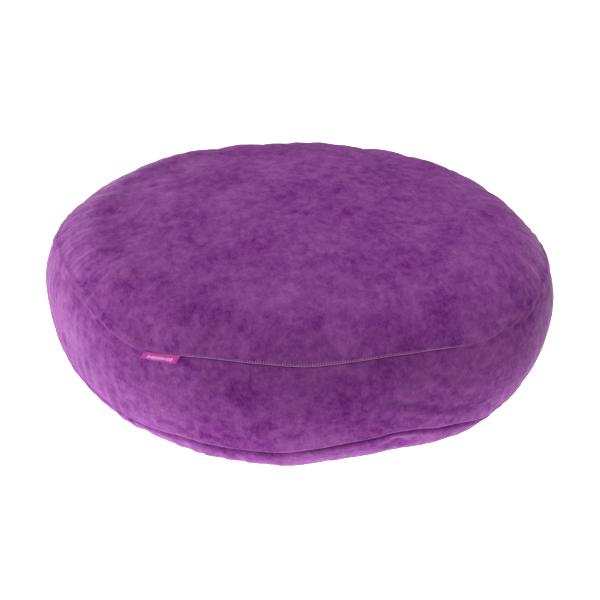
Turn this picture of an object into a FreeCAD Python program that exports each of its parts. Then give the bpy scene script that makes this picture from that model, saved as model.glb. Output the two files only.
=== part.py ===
import FreeCAD, Part
import os
import Sketcher
from FreeCAD import Rotation, Vector

# A large round floor cushion: a zipped cloth cover round a layer of wadding and an air chamber.
# Its shape is one meridian turned about the upright axis. Going down the outside, the meridian is
# a crown arc, a shoulder arc, the band's arc, a hip arc, a belly arc and a flat foot, each tangent
# to the next. Heights are measured from the cushion's widest line, and every body is lifted onto
# the floor by its Placement. The front faces -Y, and the zip is round the back.

SIZES = {
    # Outside shape
    "cushion_diameter": 700.0,
    "widest_height": 120.0,
    "crown_height": 131.0,
    "crown_radius": 1450.0,
    "band_bulge": 154.0,
    "upper_seam_rise": 46.0,
    "lower_seam_drop": 67.5,
    "belly_radius": 1190.0,
    "foot_radius": 150.0,
    # Cover
    "cloth": 1.6,
    "hem_width": 12.0,
    "thread_radius": 0.3,
    "seam_gap": 0.1,
    "join_thread_setback": 3.0,
    "seat_gap": 0.05,
    "lay_gap": 0.3,
    # Zip
    "zip_arc": 150.0,
    "zip_opening": 10.0,
    "zip_fold": 8.0,
    "zip_stitch_inset": 5.0,
    "tape_split": 1.0,
    "tape_reach": 14.0,
    "tape_thickness": 0.6,
    "coil_radius": 1.15,
    "coil_setback": 2.5,
    "stop_length": 3.0,
    "stop_height": 2.4,
    "stop_width": 2.6,
    "slider_length": 12.0,
    "slider_park": 5.0,
    "slider_front_width": 8.4,
    "slider_back_width": 7.6,
    "slider_front_thickness": 1.3,
    "slider_back_thickness": 1.0,
    "slider_post": 0.7,
    "slider_fit": 0.3,
    "bridge_length": 8.8,
    "bridge_width": 1.6,
    "bridge_wall": 0.9,
    "bridge_root": 0.4,
    "pull_length": 24.0,
    "pull_width": 4.2,
    "pull_thickness": 1.2,
    "pull_lift": 0.5,
    "pull_arm": 1.0,
    "pull_window_spare": 0.8,
    # Label
    "label_azimuth": 240.5,
    "label_width": 54.0,
    "label_drop": 10.0,
    "label_thickness": 1.2,
    # Wadding and air chamber
    "wadding": 16.0,
    "relief_spare": 2.0,
    "valve_pass_radius": 18.0,
    "sheet": 0.9,
    "web_count": 8,
    "web_thickness": 0.6,
    "web_start": 40.0,
    "web_setback": 16.0,
    "web_hole_radius": 22.0,
    "web_hole_spread": 0.2,
    # Valve and plug
    "valve_neck_radius": 6.0,
    "valve_neck_fit": 0.2,
    "valve_neck_proud": 2.7,
    "valve_bore_radius": 4.0,
    "valve_flange_radius": 14.0,
    "valve_flange_sink": 0.8,
    "valve_flange_thickness": 1.2,
    "valve_tail": 4.0,
    "plug_fit": 0.1,
    "plug_stem": 8.0,
    "plug_cap_radius": 8.0,
    "plug_cap_thickness": 2.0,
    "plug_cap_gap": 0.2,
}

# Lengths and angles that follow from the sizes. Angles are measured at an arc's centre, up from
# the outward horizontal. The shoulder and the hip take the one radius that is tangent both to the
# band at the seam and to the crown or the belly.
MERIDIAN = {
    "band_x": "Sizes.cushion_diameter / 2 - Sizes.band_bulge",
    "upper_angle": "asin(Sizes.upper_seam_rise / Sizes.band_bulge)",
    "upper_x": "Meridian.band_x + Sizes.band_bulge * cos(Meridian.upper_angle)",
    "crown_z": "Sizes.crown_height - Sizes.crown_radius",
    "upper_lift": "Sizes.upper_seam_rise - Meridian.crown_z",
    "upper_span": "Meridian.upper_x ^ 2 + Meridian.upper_lift ^ 2",
    "upper_reach": "Meridian.upper_x * cos(Meridian.upper_angle)"
                   " + Meridian.upper_lift * sin(Meridian.upper_angle)",
    "shoulder_radius": "(Sizes.crown_radius ^ 2 - Meridian.upper_span)"
                       " / (2 * (Sizes.crown_radius - Meridian.upper_reach))",
    "shoulder_x": "Meridian.upper_x - Meridian.shoulder_radius * cos(Meridian.upper_angle)",
    "shoulder_z": "Sizes.upper_seam_rise - Meridian.shoulder_radius * sin(Meridian.upper_angle)",
    "crown_angle": "atan2(Meridian.shoulder_z - Meridian.crown_z; Meridian.shoulder_x)",
    "lower_angle": "-asin(Sizes.lower_seam_drop / Sizes.band_bulge)",
    "lower_x": "Meridian.band_x + Sizes.band_bulge * cos(Meridian.lower_angle)",
    "belly_z": "Sizes.belly_radius - Sizes.widest_height",
    "lower_out": "Meridian.lower_x - Sizes.foot_radius",
    "lower_fall": "-Sizes.lower_seam_drop - Meridian.belly_z",
    "lower_span": "Meridian.lower_out ^ 2 + Meridian.lower_fall ^ 2",
    "lower_reach": "Meridian.lower_out * cos(Meridian.lower_angle)"
                   " + Meridian.lower_fall * sin(Meridian.lower_angle)",
    "hip_radius": "(Sizes.belly_radius ^ 2 - Meridian.lower_span)"
                  " / (2 * (Sizes.belly_radius - Meridian.lower_reach))",
    "hip_x": "Meridian.lower_x - Meridian.hip_radius * cos(Meridian.lower_angle)",
    "hip_z": "-Sizes.lower_seam_drop - Meridian.hip_radius * sin(Meridian.lower_angle)",
    "belly_angle": "atan2(Meridian.hip_z - Meridian.belly_z; Meridian.hip_x - Sizes.foot_radius)",
    # Depths below the outside of the cloth, from the cloth inwards
    "tail_depth": "2 * Sizes.cloth + Sizes.seat_gap",
    "tail_back": "Meridian.tail_depth + Sizes.cloth",
    "wadding_depth": "Sizes.cloth + Sizes.lay_gap",
    "wadding_back": "Meridian.wadding_depth + Sizes.wadding",
    "sheet_depth": "Meridian.wadding_back + Sizes.lay_gap",
    "sheet_back": "Meridian.sheet_depth + Sizes.sheet",
    "web_depth": "Meridian.sheet_back + Sizes.seat_gap",
    "web_end": "min(Meridian.shoulder_x; Meridian.hip_x) - Sizes.web_setback",
    # Depths through the zip
    "tape_depth": "2 * Sizes.cloth + Sizes.seat_gap",
    "coil_depth": "Meridian.tape_depth - Sizes.seat_gap - Sizes.coil_radius",
    "plate_depth": "Meridian.coil_depth - Sizes.coil_radius - Sizes.slider_fit",
    "plate_top": "Meridian.plate_depth - Sizes.slider_front_thickness",
    "back_depth": "Meridian.tape_depth + Sizes.tape_thickness + Sizes.slider_fit",
    "back_end": "Meridian.back_depth + Sizes.slider_back_thickness",
    "bar_depth": "Meridian.plate_top - Sizes.pull_lift - Sizes.pull_thickness / 2",
    "bridge_inside": "Meridian.bar_depth - Sizes.pull_thickness / 2 - Sizes.slider_fit",
    # Depths through the valve
    "neck_end": "Meridian.sheet_depth - Sizes.valve_neck_proud",
    "flange_depth": "Meridian.sheet_back + Sizes.valve_flange_sink",
    "flange_back": "Meridian.flange_depth + Sizes.valve_flange_thickness",
    "cap_back": "Meridian.neck_end - Sizes.plug_cap_gap",
}
ANGLES = ("upper_angle", "lower_angle", "crown_angle", "belly_angle")

# Centre x, centre z and radius of each arc of the meridian
ARCS = {
    "crown": ("0", "Meridian.crown_z", "Sizes.crown_radius"),
    "shoulder": ("Meridian.shoulder_x", "Meridian.shoulder_z", "Meridian.shoulder_radius"),
    "band": ("Meridian.band_x", "0", "Sizes.band_bulge"),
    "hip": ("Meridian.hip_x", "Meridian.hip_z", "Meridian.hip_radius"),
    "belly": ("Sizes.foot_radius", "Meridian.belly_z", "Sizes.belly_radius"),
}

UPPER = "Meridian.upper_angle"
LOWER = "Meridian.lower_angle"
CROWN = "Meridian.crown_angle"
BELLY = "Meridian.belly_angle"
OUTSIDE = "Sizes.cushion_diameter / 2"
REAR = "90"
FRONT = "270"
SAME_POINT = 1e-6

doc = FreeCAD.newDocument("FloorCushion")


# ---------------------------------------------------------------- sizes

def make_sheet():
    sheet = doc.addObject("Spreadsheet::Sheet", "Sizes")
    for row, (alias, size) in enumerate(SIZES.items(), start=1):
        sheet.set(f"A{row}", alias)
        sheet.set(f"B{row}", str(size))
        sheet.setAlias(f"B{row}", alias)
    doc.recompute()
    return sheet


def make_meridian():
    meridian = doc.addObject("App::VarSet", "Meridian")
    for name, expression in MERIDIAN.items():
        kind = "App::PropertyAngle" if name in ANGLES else "App::PropertyFloat"
        meridian.addProperty(kind, name)
        meridian.setExpression(name, expression)
    doc.recompute()
    return meridian


# ---------------------------------------------------------------- sketching

def turn(arc, distance):
    """The angle that a distance along the outside of an arc takes up."""
    return f"({distance}) / ({ARCS[arc][2]}) * 1 rad"


def round_turn(distance):
    """The angle, in degrees, that a distance round the widest line takes up."""
    return f"({distance}) / ({OUTSIDE}) * 180 / pi"


def arc_point(arc, depth, angle):
    x, z, radius = ARCS[arc]
    reach = f"({radius} - ({depth}))"
    return f"{x} + {reach} * cos({angle})", f"{z} + {reach} * sin({angle})"


def arc_stroke(arc, depth, start, end):
    """A stretch of a meridian arc, at a depth below the outside."""
    ends = arc_point(arc, depth, start), arc_point(arc, depth, end)
    return ends[0], ends[1], f"{ARCS[arc][2]} - ({depth})", (ARCS[arc][0], ARCS[arc][1])


def foot_stroke(depth, start, end):
    """A stretch of the flat foot, at a depth above the floor."""
    height = f"-Sizes.widest_height + ({depth})"
    return (start, height), (end, height), None, None


def polygon(points):
    """Straight strokes from each point to the next."""
    return [(point, point, None, None) for point in points]


def ring_points(depth_out, depth_in, low, high):
    """A rectangle near the widest line, between two depths and two heights."""
    out = f"{OUTSIDE} - ({depth_out})"
    back = f"{OUTSIDE} - ({depth_in})"
    return [(out, low), (out, high), (back, high), (back, low)]


def add_sketch(body, name, role):
    """A sketch on one of a body's own origin planes."""
    sketch = body.newObject("Sketcher::SketchObject", name)
    plane = [item for item in body.Origin.OriginFeatures if item.Role == role][0]
    sketch.AttachmentSupport = [(plane, "")]
    sketch.MapMode = "FlatFace"
    return sketch


def number(sketch, expression):
    found = sketch.evalExpression(expression)
    return float(getattr(found, "Value", found))


def place(sketch, point):
    return Vector(number(sketch, point[0]), number(sketch, point[1]), 0)


def bind(sketch, kind, where, expression):
    index = sketch.addConstraint(Sketcher.Constraint(kind, *where, number(sketch, expression)))
    sketch.setExpression(f"Constraints[{index}]", expression)


def pin(sketch, edge, end, point):
    """Hold one end of an edge at its own x and y."""
    spot = place(sketch, point)
    if abs(spot.x) < SAME_POINT:
        sketch.addConstraint(Sketcher.Constraint("PointOnObject", edge, end, -2))
    else:
        bind(sketch, "DistanceX", (-1, 1, edge, end), point[0])
    bind(sketch, "DistanceY", (-1, 1, edge, end), point[1])


def straighten(sketch, strokes):
    """The strokes, with a straight edge wherever one doesn't start where the last one ended."""
    edges = []
    for stroke, following in zip(strokes, strokes[1:] + strokes[:1]):
        start, end = place(sketch, stroke[0]), place(sketch, stroke[1])
        if (end - start).Length > SAME_POINT:
            edges.append(stroke)
        if (place(sketch, following[0]) - end).Length > SAME_POINT:
            edges.append((stroke[1], following[0], None, None))
    return edges


def curve(sketch, edge):
    """An edge's geometry, and which of its ends comes first: 1 for its start, 2 for its end."""
    start, end = place(sketch, edge[0]), place(sketch, edge[1])
    if edge[2] is None:
        return Part.LineSegment(start, end), (1, 2)
    centre = place(sketch, edge[3])
    circle = Part.Circle(centre, Vector(0, 0, 1), (start - centre).Length)
    first, last = circle.parameter(start), circle.parameter(end)
    if (start - centre).cross(end - centre).z > 0:
        return Part.ArcOfCircle(circle, first, last), (1, 2)
    return Part.ArcOfCircle(circle, last, first), (2, 1)


def draw(sketch, strokes):
    """Close the strokes into one outline, with every corner and radius bound to the sizes."""
    drawn = []
    for edge in straighten(sketch, strokes):
        geometry, ends = curve(sketch, edge)
        drawn.append((sketch.addGeometry(geometry), ends, edge))
    for (index, ends, edge), (after, after_ends, _) in zip(drawn, drawn[1:] + drawn[:1]):
        sketch.addConstraint(Sketcher.Constraint("Coincident", index, ends[1], after, after_ends[0]))
        pin(sketch, index, ends[0], edge[0])
        if edge[2] is not None:
            bind(sketch, "Radius", (index,), edge[2])


def draw_circle(sketch, centre, radius):
    circle = Part.Circle(place(sketch, centre), Vector(0, 0, 1), number(sketch, radius))
    index = sketch.addGeometry(circle)
    bind(sketch, "Radius", (index,), radius)
    bind(sketch, "DistanceX", (-1, 1, index, 3), centre[0])
    if abs(place(sketch, centre).y) < SAME_POINT:
        sketch.addConstraint(Sketcher.Constraint("PointOnObject", index, 3, -1))
    else:
        bind(sketch, "DistanceY", (-1, 1, index, 3), centre[1])


# ---------------------------------------------------------------- features

def settle(item, name, azimuth):
    """Label a sub-part, lift it onto the floor and turn it to its azimuth."""
    item.Label = name
    item.Placement.Rotation = Rotation(Vector(0, 0, 1), 1)
    item.setExpression(".Placement.Rotation.Angle", azimuth)
    item.setExpression(".Placement.Base.z", "Sizes.widest_height")
    sub_parts.append(item)


def make_body(name, azimuth="0"):
    body = doc.addObject("PartDesign::Body", name)
    settle(body, name, azimuth)
    return body


def revolve(body, sketch, axis="V_Axis", arc=None):
    """Turn a sketch about one of its axes, all the way or through an arc centred on the sketch."""
    feature = body.newObject("PartDesign::Revolution", f"{body.Name}_turned")
    feature.Profile = sketch
    feature.ReferenceAxis = (sketch, [axis])
    feature.Angle = 360
    if arc:
        feature.Midplane = True
        feature.setExpression("Angle", arc)
    sketch.Visibility = False


def pad(body, sketch, length):
    """Thicken a sketch by half its length on either side."""
    feature = body.newObject("PartDesign::Pad", f"{sketch.Name}_padded")
    feature.Profile = sketch
    feature.Midplane = True
    feature.setExpression("Length", length)
    sketch.Visibility = False


def pierce(body, radius):
    """A round hole along the body's own +X, through the wall on that side only."""
    sketch = add_sketch(body, f"{body.Name}_hole", "YZ_Plane")
    circle = sketch.addGeometry(Part.Circle(Vector(0, 0, 0), Vector(0, 0, 1), number(sketch, radius)))
    sketch.addConstraint(Sketcher.Constraint("Coincident", circle, 3, -1, 1))
    bind(sketch, "Radius", (circle,), radius)
    feature = body.newObject("PartDesign::Pocket", f"{body.Name}_pierced")
    feature.Profile = sketch
    feature.Reversed = True
    feature.setExpression("Length", "Sizes.cushion_diameter")
    sketch.Visibility = False


def turned_part(name, strokes, azimuth="0", arc=None):
    body = make_body(name, azimuth)
    sketch = add_sketch(body, f"{name}_section", "XZ_Plane")
    draw(sketch, strokes)
    revolve(body, sketch, arc=arc)
    return body


def make_ring(name, radius, height, thickness, azimuth="0", arc="360"):
    """A round thread or coil lying level, from its azimuth through an arc."""
    ring = doc.addObject("Part::Torus", name)
    ring.setExpression("Radius1", radius)
    ring.setExpression("Radius2", thickness)
    ring.setExpression("Angle3", arc)
    settle(ring, name, azimuth)
    ring.setExpression(".Placement.Base.z", f"Sizes.widest_height + ({height})")


# ---------------------------------------------------------------- cover

def upper_tail():
    """The band's edge turned in at the upper seam, to lie under the top panel's hem."""
    gap = turn("band", "Sizes.seam_gap")
    wall = turn("band", "Sizes.seam_gap + Sizes.cloth")
    hem = f"{UPPER} + {turn('shoulder', 'Sizes.hem_width')}"
    return [
        arc_stroke("band", "Meridian.tail_depth", f"{UPPER} - {gap}", UPPER),
        arc_stroke("shoulder", "Meridian.tail_depth", UPPER, hem),
        arc_stroke("shoulder", "Meridian.tail_back", hem, UPPER),
        arc_stroke("band", "Meridian.tail_back", UPPER, f"{UPPER} - {wall}"),
    ]


def lower_tail():
    """The band's edge turned in at the lower seam, to lie over the bottom panel's hem."""
    gap = turn("band", "Sizes.seam_gap")
    wall = turn("band", "Sizes.seam_gap + Sizes.cloth")
    hem = f"{LOWER} - {turn('hip', 'Sizes.hem_width')}"
    return [
        arc_stroke("band", "Meridian.tail_back", f"{LOWER} + {wall}", LOWER),
        arc_stroke("hip", "Meridian.tail_back", LOWER, hem),
        arc_stroke("hip", "Meridian.tail_depth", hem, LOWER),
        arc_stroke("band", "Meridian.tail_depth", LOWER, f"{LOWER} + {gap}"),
    ]


def make_top_panel():
    hem = f"{UPPER} + {turn('shoulder', 'Sizes.hem_width')}"
    turned_part("top_panel", [
        arc_stroke("crown", "0", "90 deg", CROWN),
        arc_stroke("shoulder", "0", CROWN, UPPER),
        arc_stroke("shoulder", "2 * Sizes.cloth", UPPER, hem),
        arc_stroke("shoulder", "Sizes.cloth", hem, CROWN),
        arc_stroke("crown", "Sizes.cloth", CROWN, "90 deg"),
    ])


def make_bottom_panel():
    hem = f"{LOWER} - {turn('hip', 'Sizes.hem_width')}"
    turned_part("bottom_panel", [
        foot_stroke("0", "0", "Sizes.foot_radius"),
        arc_stroke("belly", "0", "-90 deg", BELLY),
        arc_stroke("hip", "0", BELLY, LOWER),
        arc_stroke("hip", "2 * Sizes.cloth", LOWER, hem),
        arc_stroke("hip", "Sizes.cloth", hem, BELLY),
        arc_stroke("belly", "Sizes.cloth", BELLY, "-90 deg"),
        foot_stroke("Sizes.cloth", "Sizes.foot_radius", "0"),
    ])


def make_front_band():
    gap = turn("band", "Sizes.seam_gap")
    wall = turn("band", "Sizes.seam_gap + Sizes.cloth")
    strokes = [arc_stroke("band", "0", f"{LOWER} + {gap}", f"{UPPER} - {gap}")]
    strokes += upper_tail()
    strokes += [arc_stroke("band", "Sizes.cloth", f"{UPPER} - {wall}", f"{LOWER} + {wall}")]
    strokes += lower_tail()
    arc = f"360 - Sizes.zip_arc - 2 * {round_turn('Sizes.seam_gap')}"
    turned_part("front_band", strokes, FRONT, arc)


def make_rear_band_upper():
    gap = turn("band", "Sizes.seam_gap")
    wall = turn("band", "Sizes.seam_gap + Sizes.cloth")
    edge = turn("band", "Sizes.zip_opening / 2")
    fold = turn("band", "Sizes.zip_opening / 2 + Sizes.zip_fold")
    strokes = [arc_stroke("band", "0", edge, f"{UPPER} - {gap}")]
    strokes += upper_tail()
    strokes += [
        arc_stroke("band", "Sizes.cloth", f"{UPPER} - {wall}", fold),
        arc_stroke("band", "2 * Sizes.cloth", fold, edge),
    ]
    turned_part("rear_band_upper", strokes, REAR, "Sizes.zip_arc")


def make_rear_band_lower():
    gap = turn("band", "Sizes.seam_gap")
    wall = turn("band", "Sizes.seam_gap + Sizes.cloth")
    edge = "-" + turn("band", "Sizes.zip_opening / 2")
    fold = "-" + turn("band", "Sizes.zip_opening / 2 + Sizes.zip_fold")
    strokes = [
        arc_stroke("band", "0", f"{LOWER} + {gap}", edge),
        arc_stroke("band", "2 * Sizes.cloth", edge, fold),
        arc_stroke("band", "Sizes.cloth", fold, f"{LOWER} + {wall}"),
    ]
    strokes += lower_tail()
    turned_part("rear_band_lower", strokes, REAR, "Sizes.zip_arc")


def make_seam_threads():
    proud = "(Sizes.thread_radius + Sizes.seat_gap)"
    make_ring("upper_seam_thread", f"Meridian.upper_x + {proud} * cos({UPPER})",
              f"Sizes.upper_seam_rise + {proud} * sin({UPPER})", "Sizes.thread_radius")
    make_ring("lower_seam_thread", f"Meridian.lower_x + {proud} * cos({LOWER})",
              f"-Sizes.lower_seam_drop + {proud} * sin({LOWER})", "Sizes.thread_radius")


def make_band_join_threads():
    """A thread up each end of the front band, where the two zip strips are sewn to it."""
    azimuths = {"left": "90 + Sizes.zip_arc / 2", "right": "90 - Sizes.zip_arc / 2"}
    for side, azimuth in azimuths.items():
        body = make_body(f"band_join_thread_{side}", azimuth)
        sketch = add_sketch(body, f"join_{side}_section", "XY_Plane")
        draw_circle(sketch, (f"{OUTSIDE} + Sizes.thread_radius + Sizes.seat_gap", "0"),
                    "Sizes.thread_radius")
        axis = sketch.addGeometry(Part.LineSegment(Vector(1, 0, 0), Vector(1, 1, 0)), True)
        sketch.addConstraint(Sketcher.Constraint("Vertical", axis))
        sketch.addConstraint(Sketcher.Constraint("PointOnObject", axis, 1, -1))
        bind(sketch, "DistanceX", (-1, 1, axis, 1), "Meridian.band_x")
        bind(sketch, "DistanceY", (axis, 1, axis, 2), "Sizes.upper_seam_rise")
        feature = body.newObject("PartDesign::Revolution", f"join_{side}_turned")
        feature.Profile = sketch
        feature.ReferenceAxis = (sketch, ["Axis0"])
        feature.Type = "TwoAngles"
        clear = turn("band", "Sizes.join_thread_setback")
        feature.setExpression("Angle", f"-({LOWER} + {clear})")
        feature.setExpression("Angle2", f"{UPPER} - {clear}")
        sketch.Visibility = False


# ---------------------------------------------------------------- zip

def make_zip_stitching():
    """A row of thread along each zip strip, through its fold and the tape."""
    row = turn("band", "Sizes.zip_opening / 2 + Sizes.zip_stitch_inset")
    depth = "-Sizes.thread_radius - Sizes.seat_gap"
    radius, height = arc_point("band", depth, row)
    clear = round_turn("Sizes.join_thread_setback")
    start, sweep = f"90 - Sizes.zip_arc / 2 + {clear}", f"Sizes.zip_arc - 2 * {clear}"
    make_ring("zip_stitching_upper", radius, height, "Sizes.thread_radius", start, sweep)
    make_ring("zip_stitching_lower", radius, f"-({height})", "Sizes.thread_radius", start, sweep)


def make_zip_tapes():
    inner = turn("band", "Sizes.tape_split / 2")
    outer = turn("band", "Sizes.tape_reach")
    back = "Meridian.tape_depth + Sizes.tape_thickness"
    for side, sign in {"upper": "", "lower": "-"}.items():
        turned_part(f"zip_tape_{side}", [
            arc_stroke("band", "Meridian.tape_depth", sign + inner, sign + outer),
            arc_stroke("band", back, sign + outer, sign + inner),
        ], REAR, "Sizes.zip_arc")


def make_zip_coils():
    setback = round_turn("Sizes.coil_setback")
    height = "Sizes.tape_split / 2 + Sizes.coil_radius"
    for side, sign in {"upper": "", "lower": "-"}.items():
        make_ring(f"zip_coil_{side}", f"{OUTSIDE} - Meridian.coil_depth", f"{sign}({height})",
                  "Sizes.coil_radius", f"90 - Sizes.zip_arc / 2 + 2 * {setback}",
                  f"Sizes.zip_arc - 4 * {setback}")


def stop_section(low, high):
    """A zip stop's section, standing on the tape between two heights."""
    seat = "Meridian.tape_depth - Sizes.seat_gap"
    return polygon(ring_points(f"{seat} - Sizes.stop_height", seat, low, high))


def make_zip_stops():
    """Two stops where the slider parks, one to a tape, and one across both at the other end."""
    arc = round_turn("Sizes.stop_length")
    inset = round_turn("Sizes.coil_setback")
    body = make_body("zip_top_stops", f"90 + Sizes.zip_arc / 2 - {inset}")
    body.AllowCompound = True
    inner = "Sizes.tape_split / 2"
    outer = "(Sizes.tape_split / 2 + Sizes.stop_width)"
    for side, sign in {"upper": "", "lower": "-"}.items():
        sketch = add_sketch(body, f"stop_{side}_section", "XZ_Plane")
        draw(sketch, stop_section(sign + inner, sign + outer))
        feature = body.newObject("PartDesign::Revolution", f"stop_{side}_turned")
        feature.Profile = sketch
        feature.ReferenceAxis = (sketch, ["V_Axis"])
        feature.Midplane = True
        feature.setExpression("Angle", arc)
        sketch.Visibility = False
        doc.recompute()
    section = stop_section(f"-{outer}", outer)
    turned_part("zip_bottom_stop", section, f"90 - Sizes.zip_arc / 2 + {inset}", arc)


def park_azimuth():
    """Where the slider stands when the zip is closed."""
    return "90 + Sizes.zip_arc / 2 - Sizes.slider_park"


def make_zip_slider():
    """Two plates either side of the coils, a post between them and a bridge for the pull."""
    front = "Sizes.slider_front_width / 2"
    back = "Sizes.slider_back_width / 2"
    post = "Sizes.slider_post / 2"
    spots = [
        ("Meridian.plate_top", front), ("Meridian.plate_depth", front),
        ("Meridian.plate_depth", post), ("Meridian.back_depth", post),
        ("Meridian.back_depth", back), ("Meridian.back_end", back),
    ]
    points = [(f"{OUTSIDE} - {depth}", height) for depth, height in spots]
    points += [(x, f"-({height})") for x, height in reversed(points)]
    body = turned_part("zip_slider", polygon(points), park_azimuth(), round_turn("Sizes.slider_length"))
    sketch = add_sketch(body, "bridge", "XY_Plane")
    root = f"{OUTSIDE} - Meridian.plate_top - Sizes.bridge_root"
    under = f"{OUTSIDE} - Meridian.bridge_inside"
    top = f"{under} + Sizes.bridge_wall"
    out = "Sizes.bridge_length / 2"
    inside = "(Sizes.bridge_length / 2 - Sizes.bridge_wall)"
    draw(sketch, polygon([
        (root, f"-{out}"), (top, f"-{out}"), (top, out), (root, out),
        (root, inside), (under, inside), (under, f"-{inside}"), (root, f"-{inside}"),
    ]))
    pad(body, sketch, "Sizes.bridge_width")


def make_zip_pull():
    """A flat tab with a window round the bridge, closed by the bar that turns under the bridge."""
    body = make_body("zip_pull", park_azimuth())
    sketch = add_sketch(body, "tab", "YZ_Plane")
    sketch.setExpression(".AttachmentOffset.Base.z", f"{OUTSIDE} - Meridian.bar_depth")
    wide = "Sizes.pull_width / 2"
    slot = "(Sizes.pull_width / 2 - Sizes.pull_arm)"
    reach = "(Sizes.bridge_length / 2 + Sizes.pull_window_spare)"
    draw(sketch, polygon([
        ("-Sizes.seat_gap", f"-{wide}"), ("-Sizes.seat_gap", f"-{slot}"), (f"-{reach}", f"-{slot}"),
        (f"-{reach}", slot), ("-Sizes.seat_gap", slot), ("-Sizes.seat_gap", wide),
        ("-Sizes.pull_length", wide), ("-Sizes.pull_length", f"-{wide}"),
    ]))
    pad(body, sketch, "Sizes.pull_thickness")
    sketch = add_sketch(body, "bar", "XY_Plane")
    draw_circle(sketch, (f"{OUTSIDE} - Meridian.bar_depth", "0"), "Sizes.pull_thickness / 2")
    pad(body, sketch, "Sizes.pull_width")


# ---------------------------------------------------------------- label

def seam_point(out, down):
    """A point off the upper seam: out along its normal, and down along the band's slope."""
    x = f"Meridian.upper_x + ({out}) * cos({UPPER}) + ({down}) * sin({UPPER})"
    z = f"Sizes.upper_seam_rise + ({out}) * sin({UPPER}) - ({down}) * cos({UPPER})"
    return x, z


def make_seam_label():
    """A folded woven label hanging from the upper seam, flat over the band below it."""
    body = make_body("seam_label", "Sizes.label_azimuth")
    sketch = add_sketch(body, "label_section", "XZ_Plane")
    near = "Sizes.lay_gap + 2 * Sizes.thread_radius + Sizes.seat_gap"
    far = f"{near} + Sizes.label_thickness"
    half = f"{near} + Sizes.label_thickness / 2"
    straight = "Sizes.label_drop - Sizes.label_thickness / 2"
    fold_centre = seam_point(half, straight)
    fold = (seam_point(near, straight), seam_point(half, "Sizes.label_drop"))
    lift = (fold[1], seam_point(far, straight))
    radius = "Sizes.label_thickness / 2"
    strokes = polygon([seam_point(far, "0"), seam_point(near, "0")])
    strokes += [(*fold, radius, fold_centre), (*lift, radius, fold_centre)]
    draw(sketch, strokes)
    pad(body, sketch, "Sizes.label_width")


# ---------------------------------------------------------------- wadding and air chamber

def make_wadding():
    """Three layers of wadding, stepped back where the seams' hems lie over them."""
    hem = "Sizes.hem_width + Sizes.relief_spare"
    deep = "Meridian.tail_back + Sizes.lay_gap"
    outer, inner = "Meridian.wadding_depth", "Meridian.wadding_back"
    start = f"{UPPER} + {turn('shoulder', 'Sizes.lay_gap')}"
    clear = f"{UPPER} + {turn('shoulder', hem)}"
    turned_part("wadding_top", [
        arc_stroke("crown", outer, "90 deg", CROWN),
        arc_stroke("shoulder", outer, CROWN, clear),
        arc_stroke("shoulder", deep, clear, start),
        arc_stroke("shoulder", inner, start, CROWN),
        arc_stroke("crown", inner, CROWN, "90 deg"),
    ])
    start = f"{LOWER} - {turn('hip', 'Sizes.lay_gap')}"
    clear = f"{LOWER} - {turn('hip', hem)}"
    turned_part("wadding_bottom", [
        foot_stroke(outer, "0", "Sizes.foot_radius"),
        arc_stroke("belly", outer, "-90 deg", BELLY),
        arc_stroke("hip", outer, BELLY, clear),
        arc_stroke("hip", deep, clear, start),
        arc_stroke("hip", inner, start, BELLY),
        arc_stroke("belly", inner, BELLY, "-90 deg"),
        foot_stroke(inner, "Sizes.foot_radius", "0"),
    ])
    edge = turn("band", "Sizes.cloth + Sizes.seam_gap + 2 * Sizes.lay_gap")
    side = turned_part("wadding_side", [
        arc_stroke("band", outer, f"{LOWER} + {edge}", f"{UPPER} - {edge}"),
        arc_stroke("band", inner, f"{UPPER} - {edge}", f"{LOWER} + {edge}"),
    ], REAR)
    relieve_for_zip(side)
    pierce(side, "Sizes.valve_pass_radius")


def relieve_for_zip(body):
    """A channel round the back of the side wadding for the zip and its slider."""
    sketch = add_sketch(body, "zip_channel", "XZ_Plane")
    reach = "(Sizes.tape_reach + Sizes.relief_spare)"
    floor = "Meridian.back_end + Sizes.slider_fit"
    draw(sketch, polygon(ring_points("0", floor, f"-{reach}", reach)))
    feature = body.newObject("PartDesign::Groove", "zip_channel_cut")
    feature.Profile = sketch
    feature.ReferenceAxis = (sketch, ["V_Axis"])
    feature.Midplane = True
    feature.setExpression("Angle", "Sizes.zip_arc + 2 * Sizes.relief_spare")
    sketch.Visibility = False
    doc.recompute()


def make_air_chamber():
    outer, inner = "Meridian.sheet_depth", "Meridian.sheet_back"
    gap = turn("band", "Sizes.seam_gap")
    turned_part("bladder_top", [
        arc_stroke("crown", outer, "90 deg", CROWN),
        arc_stroke("shoulder", outer, CROWN, UPPER),
        arc_stroke("shoulder", inner, UPPER, CROWN),
        arc_stroke("crown", inner, CROWN, "90 deg"),
    ])
    side = turned_part("bladder_side", [
        arc_stroke("band", outer, f"{LOWER} + {gap}", f"{UPPER} - {gap}"),
        arc_stroke("band", inner, f"{UPPER} - {gap}", f"{LOWER} + {gap}"),
    ], REAR)
    pierce(side, "Sizes.valve_neck_radius + Sizes.valve_neck_fit")
    turned_part("bladder_bottom", [
        foot_stroke(outer, "0", "Sizes.foot_radius"),
        arc_stroke("belly", outer, "-90 deg", BELLY),
        arc_stroke("hip", outer, BELLY, LOWER),
        arc_stroke("hip", inner, LOWER, BELLY),
        arc_stroke("belly", inner, BELLY, "-90 deg"),
        foot_stroke(inner, "Sizes.foot_radius", "0"),
    ])


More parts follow.
